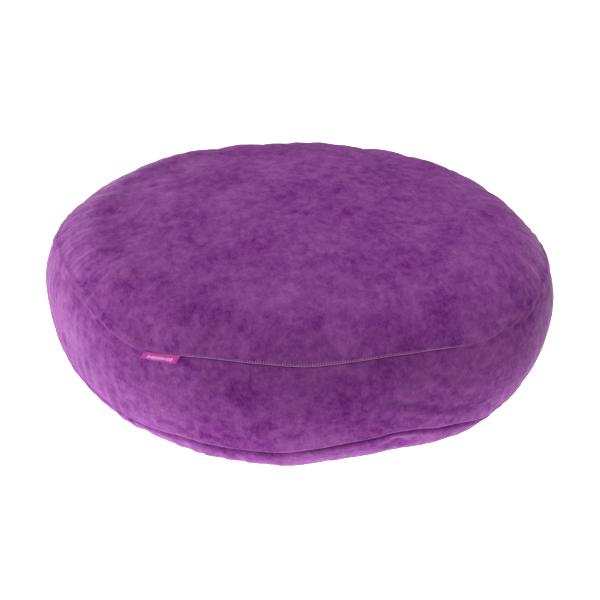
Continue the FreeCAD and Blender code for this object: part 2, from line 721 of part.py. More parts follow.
def make_tension_webs():
    """Upright webs that tie the chamber's top to its bottom, with holes that let the air round."""
    depth = "Meridian.web_depth"
    crown_reach = f"(Sizes.crown_radius - {depth})"
    belly_reach = f"(Sizes.belly_radius - {depth})"
    outer, inner = "Meridian.web_end", "Sizes.web_start"
    outline = [
        arc_stroke("crown", depth, f"acos({outer} / {crown_reach})", f"acos({inner} / {crown_reach})"),
        foot_stroke(depth, inner, "Sizes.foot_radius"),
        arc_stroke("belly", depth, "-90 deg", f"-acos(({outer} - Sizes.foot_radius) / {belly_reach})"),
    ]
    for count in range(SIZES["web_count"]):
        name = f"tension_web_{count + 1}"
        body = make_body(name, f"{count + 0.5} * 360 / Sizes.web_count")
        sketch = add_sketch(body, f"{name}_outline", "XZ_Plane")
        draw(sketch, outline)
        for side in "-+":
            centre = f"({inner} + {outer}) / 2 {side} Sizes.web_hole_spread * ({outer} - {inner})"
            draw_circle(sketch, (centre, "0"), "Sizes.web_hole_radius")
        pad(body, sketch, "Sizes.web_thickness")


# ---------------------------------------------------------------- valve

def turned_on_y(name, points):
    """A part turned about the valve's axis, drawn as depth in from the outside and radius."""
    body = make_body(name)
    sketch = add_sketch(body, f"{name}_section", "YZ_Plane")
    draw(sketch, polygon([(f"{OUTSIDE} - ({depth})", radius) for depth, radius in points]))
    revolve(body, sketch, "H_Axis")


def make_valve():
    bore, neck = "Sizes.valve_bore_radius", "Sizes.valve_neck_radius"
    flange = "Sizes.valve_flange_radius"
    tail_end = "Meridian.flange_back + Sizes.valve_tail"
    turned_on_y("valve_body", [
        ("Meridian.neck_end", bore), ("Meridian.neck_end", neck),
        ("Meridian.flange_depth", neck), ("Meridian.flange_depth", flange),
        ("Meridian.flange_back", flange), ("Meridian.flange_back", neck),
        (tail_end, neck), (tail_end, bore),
    ])
    stem = "Sizes.valve_bore_radius - Sizes.plug_fit"
    cap_top = "Meridian.cap_back - Sizes.plug_cap_thickness"
    stem_end = "Meridian.cap_back + Sizes.plug_stem"
    turned_on_y("valve_plug", [
        (cap_top, "0"), (cap_top, "Sizes.plug_cap_radius"),
        ("Meridian.cap_back", "Sizes.plug_cap_radius"), ("Meridian.cap_back", stem),
        (stem_end, stem), (stem_end, "0"),
    ])


# ---------------------------------------------------------------- checking and writing

def check_document():
    for item in doc.Objects:
        if "Invalid" in item.State or "Error" in item.State:
            raise RuntimeError(f"{item.Name} failed: {item.State}")
    for part in sub_parts:
        if part.Shape.isNull() or not part.Shape.isValid():
            raise RuntimeError(f"{part.Label} has no valid shape")


def write_parts():
    os.makedirs("parts", exist_ok=True)
    for part in sub_parts:
        part.Shape.exportStep(f"parts/{part.Label}.step")
        print(f"{part.Label}: {len(part.Shape.Solids)} solid, {part.Shape.Volume / 1000:.2f} cm3")


sub_parts = []
make_sheet()
make_meridian()
make_top_panel()
make_bottom_panel()
make_front_band()
make_rear_band_upper()
make_rear_band_lower()
make_seam_threads()
make_band_join_threads()
make_zip_stitching()
make_zip_tapes()
make_zip_coils()
make_zip_stops()
make_zip_slider()
make_zip_pull()
make_seam_label()
make_wadding()
make_air_chamber()
make_tension_webs()
make_valve()
doc.recompute()
check_document()
write_parts()
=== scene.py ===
import math
import bmesh
import bpy
import numpy as np
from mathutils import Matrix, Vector


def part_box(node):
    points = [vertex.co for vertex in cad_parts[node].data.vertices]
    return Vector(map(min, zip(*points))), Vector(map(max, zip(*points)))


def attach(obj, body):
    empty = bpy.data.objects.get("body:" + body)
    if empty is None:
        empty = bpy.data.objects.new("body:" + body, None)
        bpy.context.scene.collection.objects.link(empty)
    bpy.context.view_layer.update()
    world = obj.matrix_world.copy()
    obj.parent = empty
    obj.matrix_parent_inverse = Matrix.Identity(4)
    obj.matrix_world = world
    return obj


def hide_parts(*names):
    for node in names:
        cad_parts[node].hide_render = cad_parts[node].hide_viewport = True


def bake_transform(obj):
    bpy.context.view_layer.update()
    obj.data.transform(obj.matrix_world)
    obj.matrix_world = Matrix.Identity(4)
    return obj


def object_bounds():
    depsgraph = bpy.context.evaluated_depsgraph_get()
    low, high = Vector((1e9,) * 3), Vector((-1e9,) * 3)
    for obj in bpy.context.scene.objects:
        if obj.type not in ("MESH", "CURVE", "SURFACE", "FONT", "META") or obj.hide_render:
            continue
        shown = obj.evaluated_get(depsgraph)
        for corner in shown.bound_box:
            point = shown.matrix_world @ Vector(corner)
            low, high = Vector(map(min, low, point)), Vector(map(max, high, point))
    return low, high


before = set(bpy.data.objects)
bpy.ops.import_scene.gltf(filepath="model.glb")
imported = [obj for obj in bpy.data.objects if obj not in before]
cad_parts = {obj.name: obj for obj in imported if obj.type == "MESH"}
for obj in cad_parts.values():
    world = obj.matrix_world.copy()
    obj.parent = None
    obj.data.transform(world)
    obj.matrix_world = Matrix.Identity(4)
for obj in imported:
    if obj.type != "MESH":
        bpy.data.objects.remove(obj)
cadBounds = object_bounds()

mm = 0.001

# shape of the cushion, one meridian turned about Z

cushion = {
    "crownRadius": 1.45,        # bigger is flatter on top
    "bellyRadius": 1.19,        # the same underneath
    "footRadius": 0.15,         # the part that stays flat on the floor
    "threadWidth": 0.6 * mm,    # of the seam threads in the frame
    "cloth": 1.6 * mm,
    "footCloth": 0.9,           # how thick it stays where it is pressed on the floor, as a share
    "columns": 576,             # round the top and bottom panels
    "fineStep": 0.5 * mm,       # rows beside a seam
    "poleStep": 3.5 * mm,       # rows at a panel's middle
    "coarseStep": 4.2 * mm,     # rows in the middle of a panel
    "stepGrowth": 1.22,
}

lowCorner, highCorner = cadBounds
radius = (highCorner.x - lowCorner.x) / 2
topHeight = highCorner.z
sliderLow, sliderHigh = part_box("zip_slider")
widestHeight = (sliderLow.z + sliderHigh.z) / 2


def seamFromThread(node):
    # a seam's radius and height, read from its thread in the frame
    low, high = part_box(node)
    return high.x - cushion["threadWidth"], (low.z + high.z) / 2


upperRadius, upperHeight = seamFromThread("upper_seam_thread")
lowerHeight = seamFromThread("lower_seam_thread")[1]
bandBulge = ((radius - upperRadius) ** 2 + (upperHeight - widestHeight) ** 2) / (2 * (radius - upperRadius))
upperTurn = math.asin((upperHeight - widestHeight) / bandBulge)
lowerTurn = -math.asin((widestHeight - lowerHeight) / bandBulge)


def tangentArc(seamTurn, centreX, centreZ, bigRadius):
    # the one arc tangent to the band at a seam and to the big arc beyond it
    normal = np.array([math.cos(seamTurn), math.sin(seamTurn)])
    seam = np.array([radius - bandBulge, widestHeight]) + bandBulge * normal
    reach = seam - np.array([centreX, centreZ])
    small = (bigRadius ** 2 - reach @ reach) / (2 * (bigRadius - reach @ normal))
    centre = seam - small * normal
    join = math.atan2(centre[1] - centreZ, centre[0] - centreX)
    return centre, small, join


crownZ = topHeight - cushion["crownRadius"]
bellyZ = cushion["bellyRadius"]
footRadius = cushion["footRadius"]
shoulderCentre, shoulderRadius, crownJoin = tangentArc(upperTurn, 0, crownZ, cushion["crownRadius"])
hipCentre, hipRadius, bellyJoin = tangentArc(lowerTurn, footRadius, bellyZ, cushion["bellyRadius"])

# centre x, centre z, radius, first turn, last turn, going down the outside
arcs = [
    (0, crownZ, cushion["crownRadius"], math.pi / 2, crownJoin),
    (*shoulderCentre, shoulderRadius, crownJoin, upperTurn),
    (radius - bandBulge, widestHeight, bandBulge, upperTurn, lowerTurn),
    (*hipCentre, hipRadius, lowerTurn, bellyJoin),
    (footRadius, bellyZ, cushion["bellyRadius"], bellyJoin, -math.pi / 2),
]
arcLengths = [size * (first - last) for _, _, size, first, last in arcs]
upperSeam = sum(arcLengths[:2])
lowerSeam = sum(arcLengths[:3])
footEdge = sum(arcLengths)
wholeLength = footEdge + footRadius


def meridian(along):
    # distance down the outside from the top centre, to radius, height and the normal's turn
    along = np.asarray(along, float)
    outR = np.maximum(wholeLength - along, 0.0)
    outZ = np.zeros_like(outR)
    turn = np.full_like(outR, -math.pi / 2)
    start = 0.0
    for (centreX, centreZ, size, first, _), length in zip(arcs, arcLengths):
        here = (along >= start) & (along < start + length)
        angle = first - (along - start) / size
        outR = np.where(here, centreX + size * np.cos(angle), outR)
        outZ = np.where(here, centreZ + size * np.sin(angle), outZ)
        turn = np.where(here, angle, turn)
        start += length
    return outR, outZ, turn


def onCover(azimuth, along, outward=0.0):
    # points on the cover, or off it by a distance along its normal
    outR, outZ, turn = meridian(along)
    reach = outR + outward * np.cos(turn)
    height = outZ + outward * np.sin(turn)
    return np.stack([reach * np.cos(azimuth), reach * np.sin(azimuth), height], -1)


def coverNormal(azimuth, along):
    turn = meridian(along)[2]
    return np.stack([np.cos(turn) * np.cos(azimuth), np.cos(turn) * np.sin(azimuth),
                     np.sin(turn) + 0 * azimuth], -1)


# how the seams wander and where the cloth is dented

# azimuth in degrees (270 is the front), and how far the seam hangs below its level line in mm
upperWander = [(20, -3), (60, -6), (100, -4), (140, -6), (175, -14), (199, -22), (212, -20), (222, -9),
               (229, -2), (236, 4), (244, -4), (251, -9), (262, -10), (272, -8), (281, -12), (290, -14),
               (300, -11), (308, -4), (314, -1), (321, -2), (329, 2), (342, 1)]
lowerWander = [(15, 6), (80, 3), (150, -2), (205, 2), (222, 9), (233, 13), (246, 4), (255, 8),
               (268, 4), (282, -8), (293, -17), (301, -7), (309, -3), (318, 12), (334, 17), (350, 12)]


seamCurve = {
    "points": 721,
    "smoothing": 19,            # points that one of them is averaged over; odd
}


def wander(table, azimuth):
    # a smooth closed curve near the table's points
    angles = np.radians([row[0] for row in table])
    drops = np.array([row[1] for row in table]) * mm
    dense = np.linspace(0, 2 * math.pi, seamCurve["points"])
    level = np.interp(dense, angles, drops, period=2 * math.pi)
    kernel = np.hanning(seamCurve["smoothing"])
    ends = seamCurve["smoothing"] // 2 + 1
    wrapped = np.concatenate([level[-ends:-1], level, level[1:ends]])
    smooth = np.convolve(wrapped, kernel / kernel.sum(), "valid")
    return np.interp(np.mod(azimuth, 2 * math.pi), dense, smooth)


def upperLine(azimuth):
    return upperSeam + wander(upperWander, azimuth)


def lowerLine(azimuth):
    return lowerSeam + wander(lowerWander, azimuth)


# azimuth in degrees, mm below the upper seam (minus is up on the top panel), half width round the
# cushion in mm, half height in mm, and depth in mm (minus swells out)
dents = [
    (208, 60, 95, 60, 11.0),
    (30, -20, 130, 80, 3.5),
    (95, -157, 190, 120, 1.0),
    (252, 161, 130, 45, -5.5),
    (262, 143, 120, 40, -3.0),
    (226, 77, 26, 16, 3.0),
    (247, 97, 24, 12, 2.5),
    (293, 121, 22, 9, 4.5),
    (338, 53, 90, 50, -4.0),
    (322, 105, 130, 55, -5.0),
    (312, 140, 70, 40, -4.0),
    (2, 20, 110, 80, -3.0),
    (14, -20, 60, 40, 2.5),
    (188, 0, 90, 70, -3.0),
    (215, -27, 40, 18, 1.8),
    (186, -27, 60, 30, 2.5),
    (130, 33, 90, 45, 2.0),
    (70, 23, 70, 40, 2.2),
    (110, -67, 90, 50, 3.0),
    (160, 143, 80, 40, 2.5),
    (40, 138, 90, 40, 2.5),
]

# each crease: azimuth and mm below the upper seam of its points, half width in mm, depth in mm
creases = [
    ([(338, -236), (343, -200), (350, -168), (356, -130)], 3.4, 3.0),
    ([(336, -250), (345, -214), (354, -176)], 6.0, -1.7),
    ([(100, -257), (75, -322)], 6.0, 0.9),
    ([(219, -15), (224, -2)], 3.0, 1.2),
    ([(217, -9), (221, 2)], 2.6, 0.9),
    ([(195, -33), (198, -15)], 4.0, 1.2),
    ([(298, 15), (305, 33), (313, 51)], 4.0, 1.9),
    ([(297, 24), (304, 43), (310, 57)], 4.0, -1.3),
    ([(291, 45), (299, 65), (309, 81)], 4.5, 1.7),
    ([(290, 54), (298, 75), (306, 89)], 4.5, -1.2),
    ([(309, 1), (318, -11)], 3.5, 1.2),
    ([(314, 7), (322, -3)], 3.2, 1.0),
    ([(312, -17), (325, -23)], 4.0, 0.9),
    ([(325, 5), (333, -9)], 3.5, 1.4),
    ([(331, 7), (339, -5)], 3.5, 1.2),
    ([(323, -29), (335, -37)], 5.0, 0.9),
    ([(225, 77), (231, 99)], 4.0, 1.6),
    ([(240, 91), (247, 109)], 4.0, 1.4),
    ([(290, 105), (295, 125)], 4.5, 2.0),
    ([(297, 101), (303, 115)], 4.0, 1.2),
    ([(316, 93), (322, 117)], 4.5, 1.8),
    ([(330, 89), (334, 113)], 5.0, 1.6),
    ([(60, 1), (68, 17)], 4.0, 1.0),
    ([(140, 93), (147, 115)], 4.5, 1.4),
    ([(30, 95), (36, 117)], 4.5, 1.4),
    ([(172, 3), (178, 23)], 4.0, 1.1),
    ([(5, 13), (12, 37)], 4.5, 1.2),
    ([(150, -187), (165, -117)], 6.0, 0.9),
]

inwardFade = 2.5                # a dent reaches this many half heights in towards the middle

clothWaves = {
    "seed": 7,
    "count": 26,
    "longest": 0.26,            # metres
    "shortest": 0.035,
    "height": 0.55 * mm,        # of the longest ones
    "evenness": 0.9,            # how fast shorter waves get lower
}

seamOpening = {
    "from": math.radians(243),  # the upper seam is pulled open between these two
    "to": math.radians(303),
    "fade": math.radians(9),
    "closed": 0.3,              # how round its lips are elsewhere, as a share
}

seamPuckers = {
    "seed": 19,
    "count": 22,
    "pitch": (0.013, 0.032),    # metres round the seam
    "height": 0.42 * mm,
    "reach": 0.022,             # how far from the seam they fade
    "spread": (0.25, 0.7),      # radians round the seam that one group takes up
    "blend": 0.6,
    "lowerShare": 1.5,          # the lower seam's gathers, against the upper seam's
}

hemRidge = {
    "width": 10 * mm,           # the turned-in seam allowance under the top panel
    "height": 0.55 * mm,
    "sideHeight": 1.7 * mm,     # added where the seam is closed
    "edge": 1.5 * mm,
}

zipRest = {
    "calm": 17 * mm,            # the strips lie quite flat this far from the zip
    "fade": 40 * mm,
    "behind": (0.12, 0.26),     # the azimuth's sine where the zipped back begins, and where it is full
}

zipArc = math.radians(150)
zipStart = math.pi / 2 - zipArc / 2
zipEnd = math.pi / 2 + zipArc / 2


def smoothStep(value, low, high):
    share = np.clip((value - low) / (high - low), 0, 1)
    return share * share * (3 - 2 * share)


def opened(azimuth):
    # 1 where the upper seam is pulled open, 0 where it is closed
    fade = seamOpening["fade"]
    turn = np.mod(azimuth, 2 * math.pi)
    share = smoothStep(turn, seamOpening["from"] - fade, seamOpening["from"])
    return share * (1 - smoothStep(turn, seamOpening["to"], seamOpening["to"] + fade))


def dentRelief(points):
    height = np.zeros(points.shape[:-1])
    for degrees, below, across, down, depth in dents:
        turn, along = math.radians(degrees), upperSeam + below * mm
        radial = np.array([math.cos(turn), math.sin(turn), 0])
        side = np.array([-math.sin(turn), math.cos(turn), 0])
        fall = np.cross(coverNormal(turn, along), side)
        gap = points - onCover(turn, along)
        share = (gap @ side / (across * mm)) ** 2 + (gap @ fall / (down * mm)) ** 2
        share += (np.minimum(gap @ radial, 0) / (inwardFade * down * mm)) ** 2
        height -= depth * mm * np.exp(-share)
    return height


def creaseRelief(points):
    height = np.zeros(points.shape[:-1])
    for stops, halfWidth, depth in creases:
        corners = [onCover(math.radians(turn), upperSeam + below * mm) for turn, below in stops]
        nearest = np.ones(points.shape[:-1])
        for first, last in zip(corners, corners[1:]):
            run = last - first
            share = np.clip((points - first) @ run / (run @ run), 0, 1)
            offLine = np.linalg.norm(points - first - share[..., None] * run, axis=-1)
            nearest = np.minimum(nearest, offLine)
        height -= depth * mm * np.exp(-(nearest / (halfWidth * mm)) ** 2)
    return height


def waveRelief(points):
    # slow unevenness of the filling, as a sum of waves in fixed random directions
    draw = np.random.default_rng(clothWaves["seed"])
    height = np.zeros(points.shape[:-1])
    for step in range(clothWaves["count"]):
        share = step / (clothWaves["count"] - 1)
        length = clothWaves["longest"] * (clothWaves["shortest"] / clothWaves["longest"]) ** share
        way = draw.normal(size=3)
        way /= np.linalg.norm(way)
        size = clothWaves["height"] * (length / clothWaves["longest"]) ** clothWaves["evenness"]
        height += size * np.sin(points @ way * 2 * math.pi / length + draw.uniform(0, 2 * math.pi))
    return height


def puckerRelief(azimuth, gap, seed):
    # small gathers square to a seam, fading away from it
    draw = np.random.default_rng(seamPuckers["seed"] + seed)
    wave = np.zeros(np.broadcast(azimuth, gap).shape)
    for _ in range(seamPuckers["count"]):
        turns = round(2 * math.pi * radius / draw.uniform(*seamPuckers["pitch"]))
        where = draw.uniform(0, 2 * math.pi)
        spread = draw.uniform(*seamPuckers["spread"])
        local = np.exp(-(np.angle(np.exp(1j * (azimuth - where))) / spread) ** 2)
        wave += local * np.sin(turns * azimuth + draw.uniform(0, 2 * math.pi))
    reach = np.abs(gap) / seamPuckers["reach"]
    return seamPuckers["height"] * wave * reach * np.exp(1 - reach) * seamPuckers["blend"]


def relief(azimuth, along, puff):
    # how far the cover stands off the plain meridian at each point
    azimuth, along = np.broadcast_arrays(azimuth, along)
    points = onCover(azimuth, along)
    height = dentRelief(points) + creaseRelief(points) + waveRelief(points)
    height += puff(azimuth, along)
    aboveSeam = upperLine(azimuth) - along
    height += puckerRelief(azimuth, aboveSeam, 1)
    height += seamPuckers["lowerShare"] * puckerRelief(azimuth, lowerLine(azimuth) - along, 2)
    ridge = smoothStep(aboveSeam, -hemRidge["edge"], 0)
    ridge = ridge * (1 - smoothStep(aboveSeam, hemRidge["width"], hemRidge["width"] + hemRidge["edge"]))
    height += (hemRidge["height"] + hemRidge["sideHeight"] * (1 - opened(azimuth))) * ridge
    fromZip = np.abs(meridian(along)[1] - widestHeight)
    behind = smoothStep(np.sin(azimuth), *zipRest["behind"])
    calm = behind * (1 - smoothStep(fromZip, zipRest["calm"], zipRest["fade"]))
    return height * (1 - calm)


# the filling pushes the cover out: cloth simulation

puffing = {
    "columns": 288,
    "rows": 116,
    "poleGap": 8 * mm,          # the first and last ring's distance from the middle
    "inset": 5 * mm,            # it starts this much smaller
    "lean": {"upper": 0.05, "lower": 0.04},     # metres over which rings lean to a wandering seam
    "slack": 0.006,             # spare cloth, as a share of its length
    "frames": 20,
    "most": 2.5 * mm,           # no point moves further than this from the mean
    "keep": 0.35,
    "poleFade": (0.02, 0.06),
    "footFade": 0.03,
    "cloth": {
        "quality": 5,
        "mass": 0.25,
        "tension_stiffness": 25,
        "compression_stiffness": 12,
        "shear_stiffness": 5,
        "bending_stiffness": 0.35,
        "use_pressure": True,
        "uniform_pressure_force": 4.0,
        "pin_stiffness": 1.0,
    },
}


def linked(name, mesh):
    piece = bpy.data.objects.new(name, mesh)
    bpy.context.scene.collection.objects.link(piece)
    return piece


def closedGrid(name, points):
    # a closed mesh from rings of points, with one point at each end
    rings, columns = points.shape[:2]
    corners = np.arange(rings * columns).reshape(rings, columns)
    across = np.roll(corners, -1, axis=1)
    faces = np.stack([corners[:-1], corners[1:], across[1:], across[:-1]], -1).reshape(-1, 4).tolist()
    count = rings * columns
    faces += [[count, corners[0, step], across[0, step]] for step in range(columns)]
    faces += [[count + 1, across[-1, step], corners[-1, step]] for step in range(columns)]
    ends = [points[0].mean(0), points[-1].mean(0)]
    mesh = bpy.data.meshes.new(name)
    mesh.from_pydata(np.concatenate([points.reshape(-1, 3), ends]).tolist(), [], faces)
    mesh.update()
    return mesh


def simulatePuff():
    columns, rows = puffing["columns"], puffing["rows"]
    azimuths = np.linspace(0, 2 * math.pi, columns, endpoint=False)
    alongs = np.linspace(puffing["poleGap"], wholeLength - puffing["poleGap"], rows)
    alongs[np.argmin(np.abs(alongs - upperSeam))] = upperSeam
    alongs[np.argmin(np.abs(alongs - lowerSeam))] = lowerSeam
    spin, down = np.meshgrid(azimuths, alongs)
    lean = wander(upperWander, spin) * np.exp(-((down - upperSeam) / puffing["lean"]["upper"]) ** 2)
    lean += wander(lowerWander, spin) * np.exp(-((down - lowerSeam) / puffing["lean"]["lower"]) ** 2)
    down = down + lean
    start = onCover(spin, down, -puffing["inset"])
    mesh = closedGrid("puffingCover", start)
    cover = linked("puffingCover", mesh)
    held = cover.vertex_groups.new(name="held")
    gap = np.minimum(np.abs(alongs - upperSeam), np.abs(alongs - lowerSeam))
    sewn = [row for row in range(rows) if gap[row] == 0 or alongs[row] > footEdge]
    held.add([row * columns + step for row in sewn for step in range(columns)], 1.0, "REPLACE")
    cloth = cover.modifiers.new("puff", "CLOTH")
    for setting, value in puffing["cloth"].items():
        setattr(cloth.settings, setting, value)
    cloth.settings.effector_weights.gravity = 0
    cloth.settings.vertex_group_mass = "held"
    cloth.settings.shrink_min = cloth.settings.shrink_max = -puffing["slack"]
    cloth.collision_settings.use_collision = False
    cloth.collision_settings.use_self_collision = False
    cloth.point_cache.frame_start = 1
    cloth.point_cache.frame_end = puffing["frames"]
    scene = bpy.context.scene
    for frameNumber in range(1, puffing["frames"] + 1):
        scene.frame_set(frameNumber)
    settled = cover.evaluated_get(bpy.context.evaluated_depsgraph_get())
    moved = np.zeros(len(settled.data.vertices) * 3)
    settled.data.vertices.foreach_get("co", moved)
    moved = moved.reshape(-1, 3)[:rows * columns].reshape(rows, columns, 3)
    bpy.data.objects.remove(cover)
    bpy.data.meshes.remove(mesh)
    scene.frame_set(1)
    push = ((moved - start) * coverNormal(spin, down)).sum(-1)
    push = push - push.mean(axis=1, keepdims=True)
    push = np.clip(push * puffing["keep"], -puffing["most"], puffing["most"])
    return azimuths, alongs, push


def puffLookup(azimuths, alongs, push):
    # the simulated push at any point, between the simulated ones
    closed = np.concatenate([push, push[:, :1]], 1)

    def lookup(azimuth, along):
        turn = np.mod(azimuth, 2 * math.pi) / (2 * math.pi) * len(azimuths)
        left = np.minimum(turn.astype(int), len(azimuths) - 1)
        row = np.interp(along, alongs, np.arange(len(alongs)))
        top = np.minimum(row.astype(int), len(alongs) - 2)
        across, down = turn - left, row - top
        upper = closed[top, left] * (1 - across) + closed[top, left + 1] * across
        lower = closed[top + 1, left] * (1 - across) + closed[top + 1, left + 1] * across
        ends = smoothStep(along, *puffing["poleFade"])
        ends = ends * (1 - smoothStep(along, footEdge - puffing["footFade"], footEdge))
        return (upper * (1 - down) + lower * down) * ends

    return lookup


puff = puffLookup(*simulatePuff())
print("cover puffed")


# cloth panels

lips = {
    "upper": {"round": 1.9 * mm, "flange": 4.8 * mm},
    "underUpper": {"round": 2.8 * mm, "flange": 5.2 * mm},
    "lower": {"round": 6.5 * mm, "flange": 10 * mm},
    "zip": {"round": 1.2 * mm, "fold": 8 * mm, "thick": 3.1 * mm},
    "gap": 0.12 * mm,           # between two sewn edges
    "steps": 5,                 # round a lip
    "leastRound": 0.15 * mm,    # of a lip's inside
    "flangeSlip": 0.2 * mm,
    "foldTuck": 0.3,            # how much the zip fold's inside follows its edge
    "foldShares": (0.3, 0.6, 0.9, 1.0),
}


def seamLip(kind):
    # rows at a sewn edge: distance and depth of the outside, then of the inside
    size, flange, cloth = lips[kind]["round"], lips[kind]["flange"], cushion["cloth"]
    inside = max(size - cloth, lips["leastRound"])
    half = (flange + size) / 2
    rows = [(0, flange, cloth, flange), (0, half, cloth, half + lips["flangeSlip"])]
    for turn in np.linspace(0, math.pi / 2, lips["steps"] + 1):
        rows.append((size - size * math.cos(turn), size - size * math.sin(turn),
                     size - inside * math.cos(turn), size - inside * math.sin(turn)))
    return [(a + lips["gap"], b, c + lips["gap"], d) for a, b, c, d in rows]


def zipLip():
    size, thick = lips["zip"]["round"], lips["zip"]["thick"]
    rows = []
    for turn in np.linspace(0, math.pi / 2, lips["steps"] + 1):
        bend = size - size * math.cos(turn)
        rows.append((bend, size - size * math.sin(turn), bend, thick - lips["foldTuck"] * (size - bend)))
    for share in lips["foldShares"]:
        place = size + share * (lips["zip"]["fold"] - size)
        rows.append((place, 0, place, thick))
    return rows


def stepsBetween(length, startStep, endStep):
    # distances along a run whose steps grow from each end towards the middle
    def grow(step):
        places, here = [0.0], 0.0
        while here < length:
            here += step
            step = min(step * cushion["stepGrowth"], cushion["coarseStep"])
            places.append(here)
        return np.array(places)
    front = [place for place in grow(startStep) if place < length / 2]
    back = [length - place for place in grow(endStep) if place < length / 2]
    return np.array(front + back[::-1])


def panelRows(firstLip, lastLip, length):
    # every row of a panel: what its distances are measured from, then the outer distance and depth,
    # and the inner distance and depth; in the middle a distance is a share of the panel's length
    rows = []
    startAt = firstLip[-1][0] if firstLip else 0.0
    endAt = lastLip[-1][0] if lastLip else 0.0
    for outer, depth, inner, innerDepth in firstLip or []:
        rows.append(("first", outer, depth, inner, innerDepth))
    middle = stepsBetween(length - startAt - endAt,
                          cushion["fineStep"] if firstLip else cushion["poleStep"],
                          cushion["fineStep"] if lastLip else cushion["poleStep"])
    for place in middle[1 if firstLip else 0:-1 if lastLip else None]:
        share = (place + startAt) / length
        rows.append(("share", share, 0.0, share, cushion["cloth"]))
    for outer, depth, inner, innerDepth in reversed(lastLip or []):
        rows.append(("last", outer, depth, inner, innerDepth))
    return rows


def rowPlace(kind, amount, first, last):
    if kind == "first":
        return first + amount
    if kind == "last":
        return last - amount
    return first + amount * (last - first)


def panelLayers(azimuth, first, last, rows, endGroove=None, upperEdge=None):
    # outer and inner points of a panel, row by row; its edge at the upper seam closes up
    outer, inner = [], []
    closing = seamOpening["closed"] + (1 - seamOpening["closed"]) * opened(azimuth)
    for kind, amount, depth, innerAmount, innerDepth in rows:
        if kind == upperEdge:
            amount, depth = amount * closing, depth * closing
        along = rowPlace(kind, amount, first, last)
        innerAlong = rowPlace(kind, innerAmount, first, last)
        rise = relief(azimuth, along, puff) - (endGroove if endGroove is not None else 0)
        outer.append(onCover(azimuth, along, rise - depth))
        inner.append(onCover(azimuth, innerAlong, rise - innerDepth))
    outer, inner = np.array(outer), np.array(inner)
    outer[..., 2] = np.maximum(outer[..., 2], 0)
    inner[..., 2] = np.maximum(inner[..., 2], cushion["cloth"] * cushion["footCloth"])
    return outer, inner


def shellFaces(rows, columns, closed, firstPole, lastPole):
    # faces of a shell whose outer points come first and whose inner points follow
    outer = np.arange(rows * columns).reshape(rows, columns)
    inner = outer + rows * columns
    faces = []

    def sheet(grid, flip):
        left = grid if closed else grid[:, :-1]
        right = np.roll(grid, -1, axis=1) if closed else grid[:, 1:]
        quads = np.stack([left[:-1], left[1:], right[1:], right[:-1]], -1).reshape(-1, 4)
        faces.extend((quads[:, ::-1] if flip else quads).tolist())

    def edge(above, below, flip):
        quads = np.stack([above, np.roll(above, -1), np.roll(below, -1), below], -1)
        quads = quads if closed else quads[:-1]
        faces.extend((quads[:, ::-1] if flip else quads).tolist())

    sheet(outer, False)
    sheet(inner, True)
    if not firstPole:
        edge(outer[0], inner[0], False)
    if not lastPole:
        edge(outer[-1], inner[-1], True)
    if not closed:
        for column, flip in ((0, True), (columns - 1, False)):
            front, back = outer[:, column], inner[:, column]
            quads = np.stack([front[:-1], front[1:], back[1:], back[:-1]], -1)
            faces.extend((quads[:, ::-1] if flip else quads).tolist())
    return faces


def makeShell(name, outer, inner, closed=True, firstPole=False, lastPole=False):
    # a closed cloth shell; a pole is a ring that has shrunk to one point
    rows, columns = outer.shape[:2]
    points = np.concatenate([outer.reshape(-1, 3), inner.reshape(-1, 3)])
    mesh = bpy.data.meshes.new(name)
    mesh.from_pydata(points.tolist(), [], shellFaces(rows, columns, closed, firstPole, lastPole))
    mesh.update()
    piece = linked(name, mesh)
    tidyMesh(piece, weld=firstPole or lastPole)
    return piece


weldReach = 0.001 * mm


def tidyMesh(piece, weld):
    work = bmesh.new()
    work.from_mesh(piece.data)
    if weld:
        bmesh.ops.remove_doubles(work, verts=work.verts, dist=weldReach)
    bmesh.ops.recalc_face_normals(work, faces=work.faces)
    work.to_mesh(piece.data)
    work.free()
    piece.data.polygons.foreach_set("use_smooth", [True] * len(piece.data.polygons))
    piece.data.update()


fullTurn = np.linspace(0, 2 * math.pi, cushion["columns"], endpoint=False)


def makeTopPanel():
    rows = panelRows(None, seamLip("upper"), upperSeam)
    first = np.zeros_like(fullTurn)
    outer, inner = panelLayers(fullTurn, first, upperLine(fullTurn), rows, upperEdge="last")
    return makeShell("topPanel", outer, inner, firstPole=True)


def makeBottomPanel():
    rows = panelRows(seamLip("lower"), None, wholeLength - lowerSeam)
    last = np.full_like(fullTurn, wholeLength)
    outer, inner = panelLayers(fullTurn, lowerLine(fullTurn), last, rows)
    return makeShell("bottomPanel", outer, inner, lastPole=True)


joinGroove = {"width": 2.4 * mm, "depth": 1.3 * mm, "step": 0.4 * mm}


def bandColumns(start, end):
    # azimuths of a band, close together at its sewn ends, and how deep its ends tuck in
    length = (end - start) * radius
    places = stepsBetween(length, joinGroove["step"], joinGroove["step"])
    fromEnd = np.minimum(places, length - places)
    share = np.clip(1 - fromEnd / joinGroove["width"], 0, 1)
    groove = joinGroove["depth"] * (1 - np.sqrt(1 - share ** 2))
    halfGap = lips["gap"] / 2 / radius
    azimuth = start + halfGap + places / length * (end - start - 2 * halfGap)
    return azimuth, groove


def makeFrontBand():
    azimuth, groove = bandColumns(zipEnd, zipStart + 2 * math.pi)
    rows = panelRows(seamLip("underUpper"), seamLip("lower"), lowerSeam - upperSeam)
    outer, inner = panelLayers(azimuth, upperLine(azimuth), lowerLine(azimuth), rows, groove, "first")
    return makeShell("frontBand", outer, inner, closed=False)


zipHalf = 5 * mm
widestLine = upperSeam + bandBulge * upperTurn


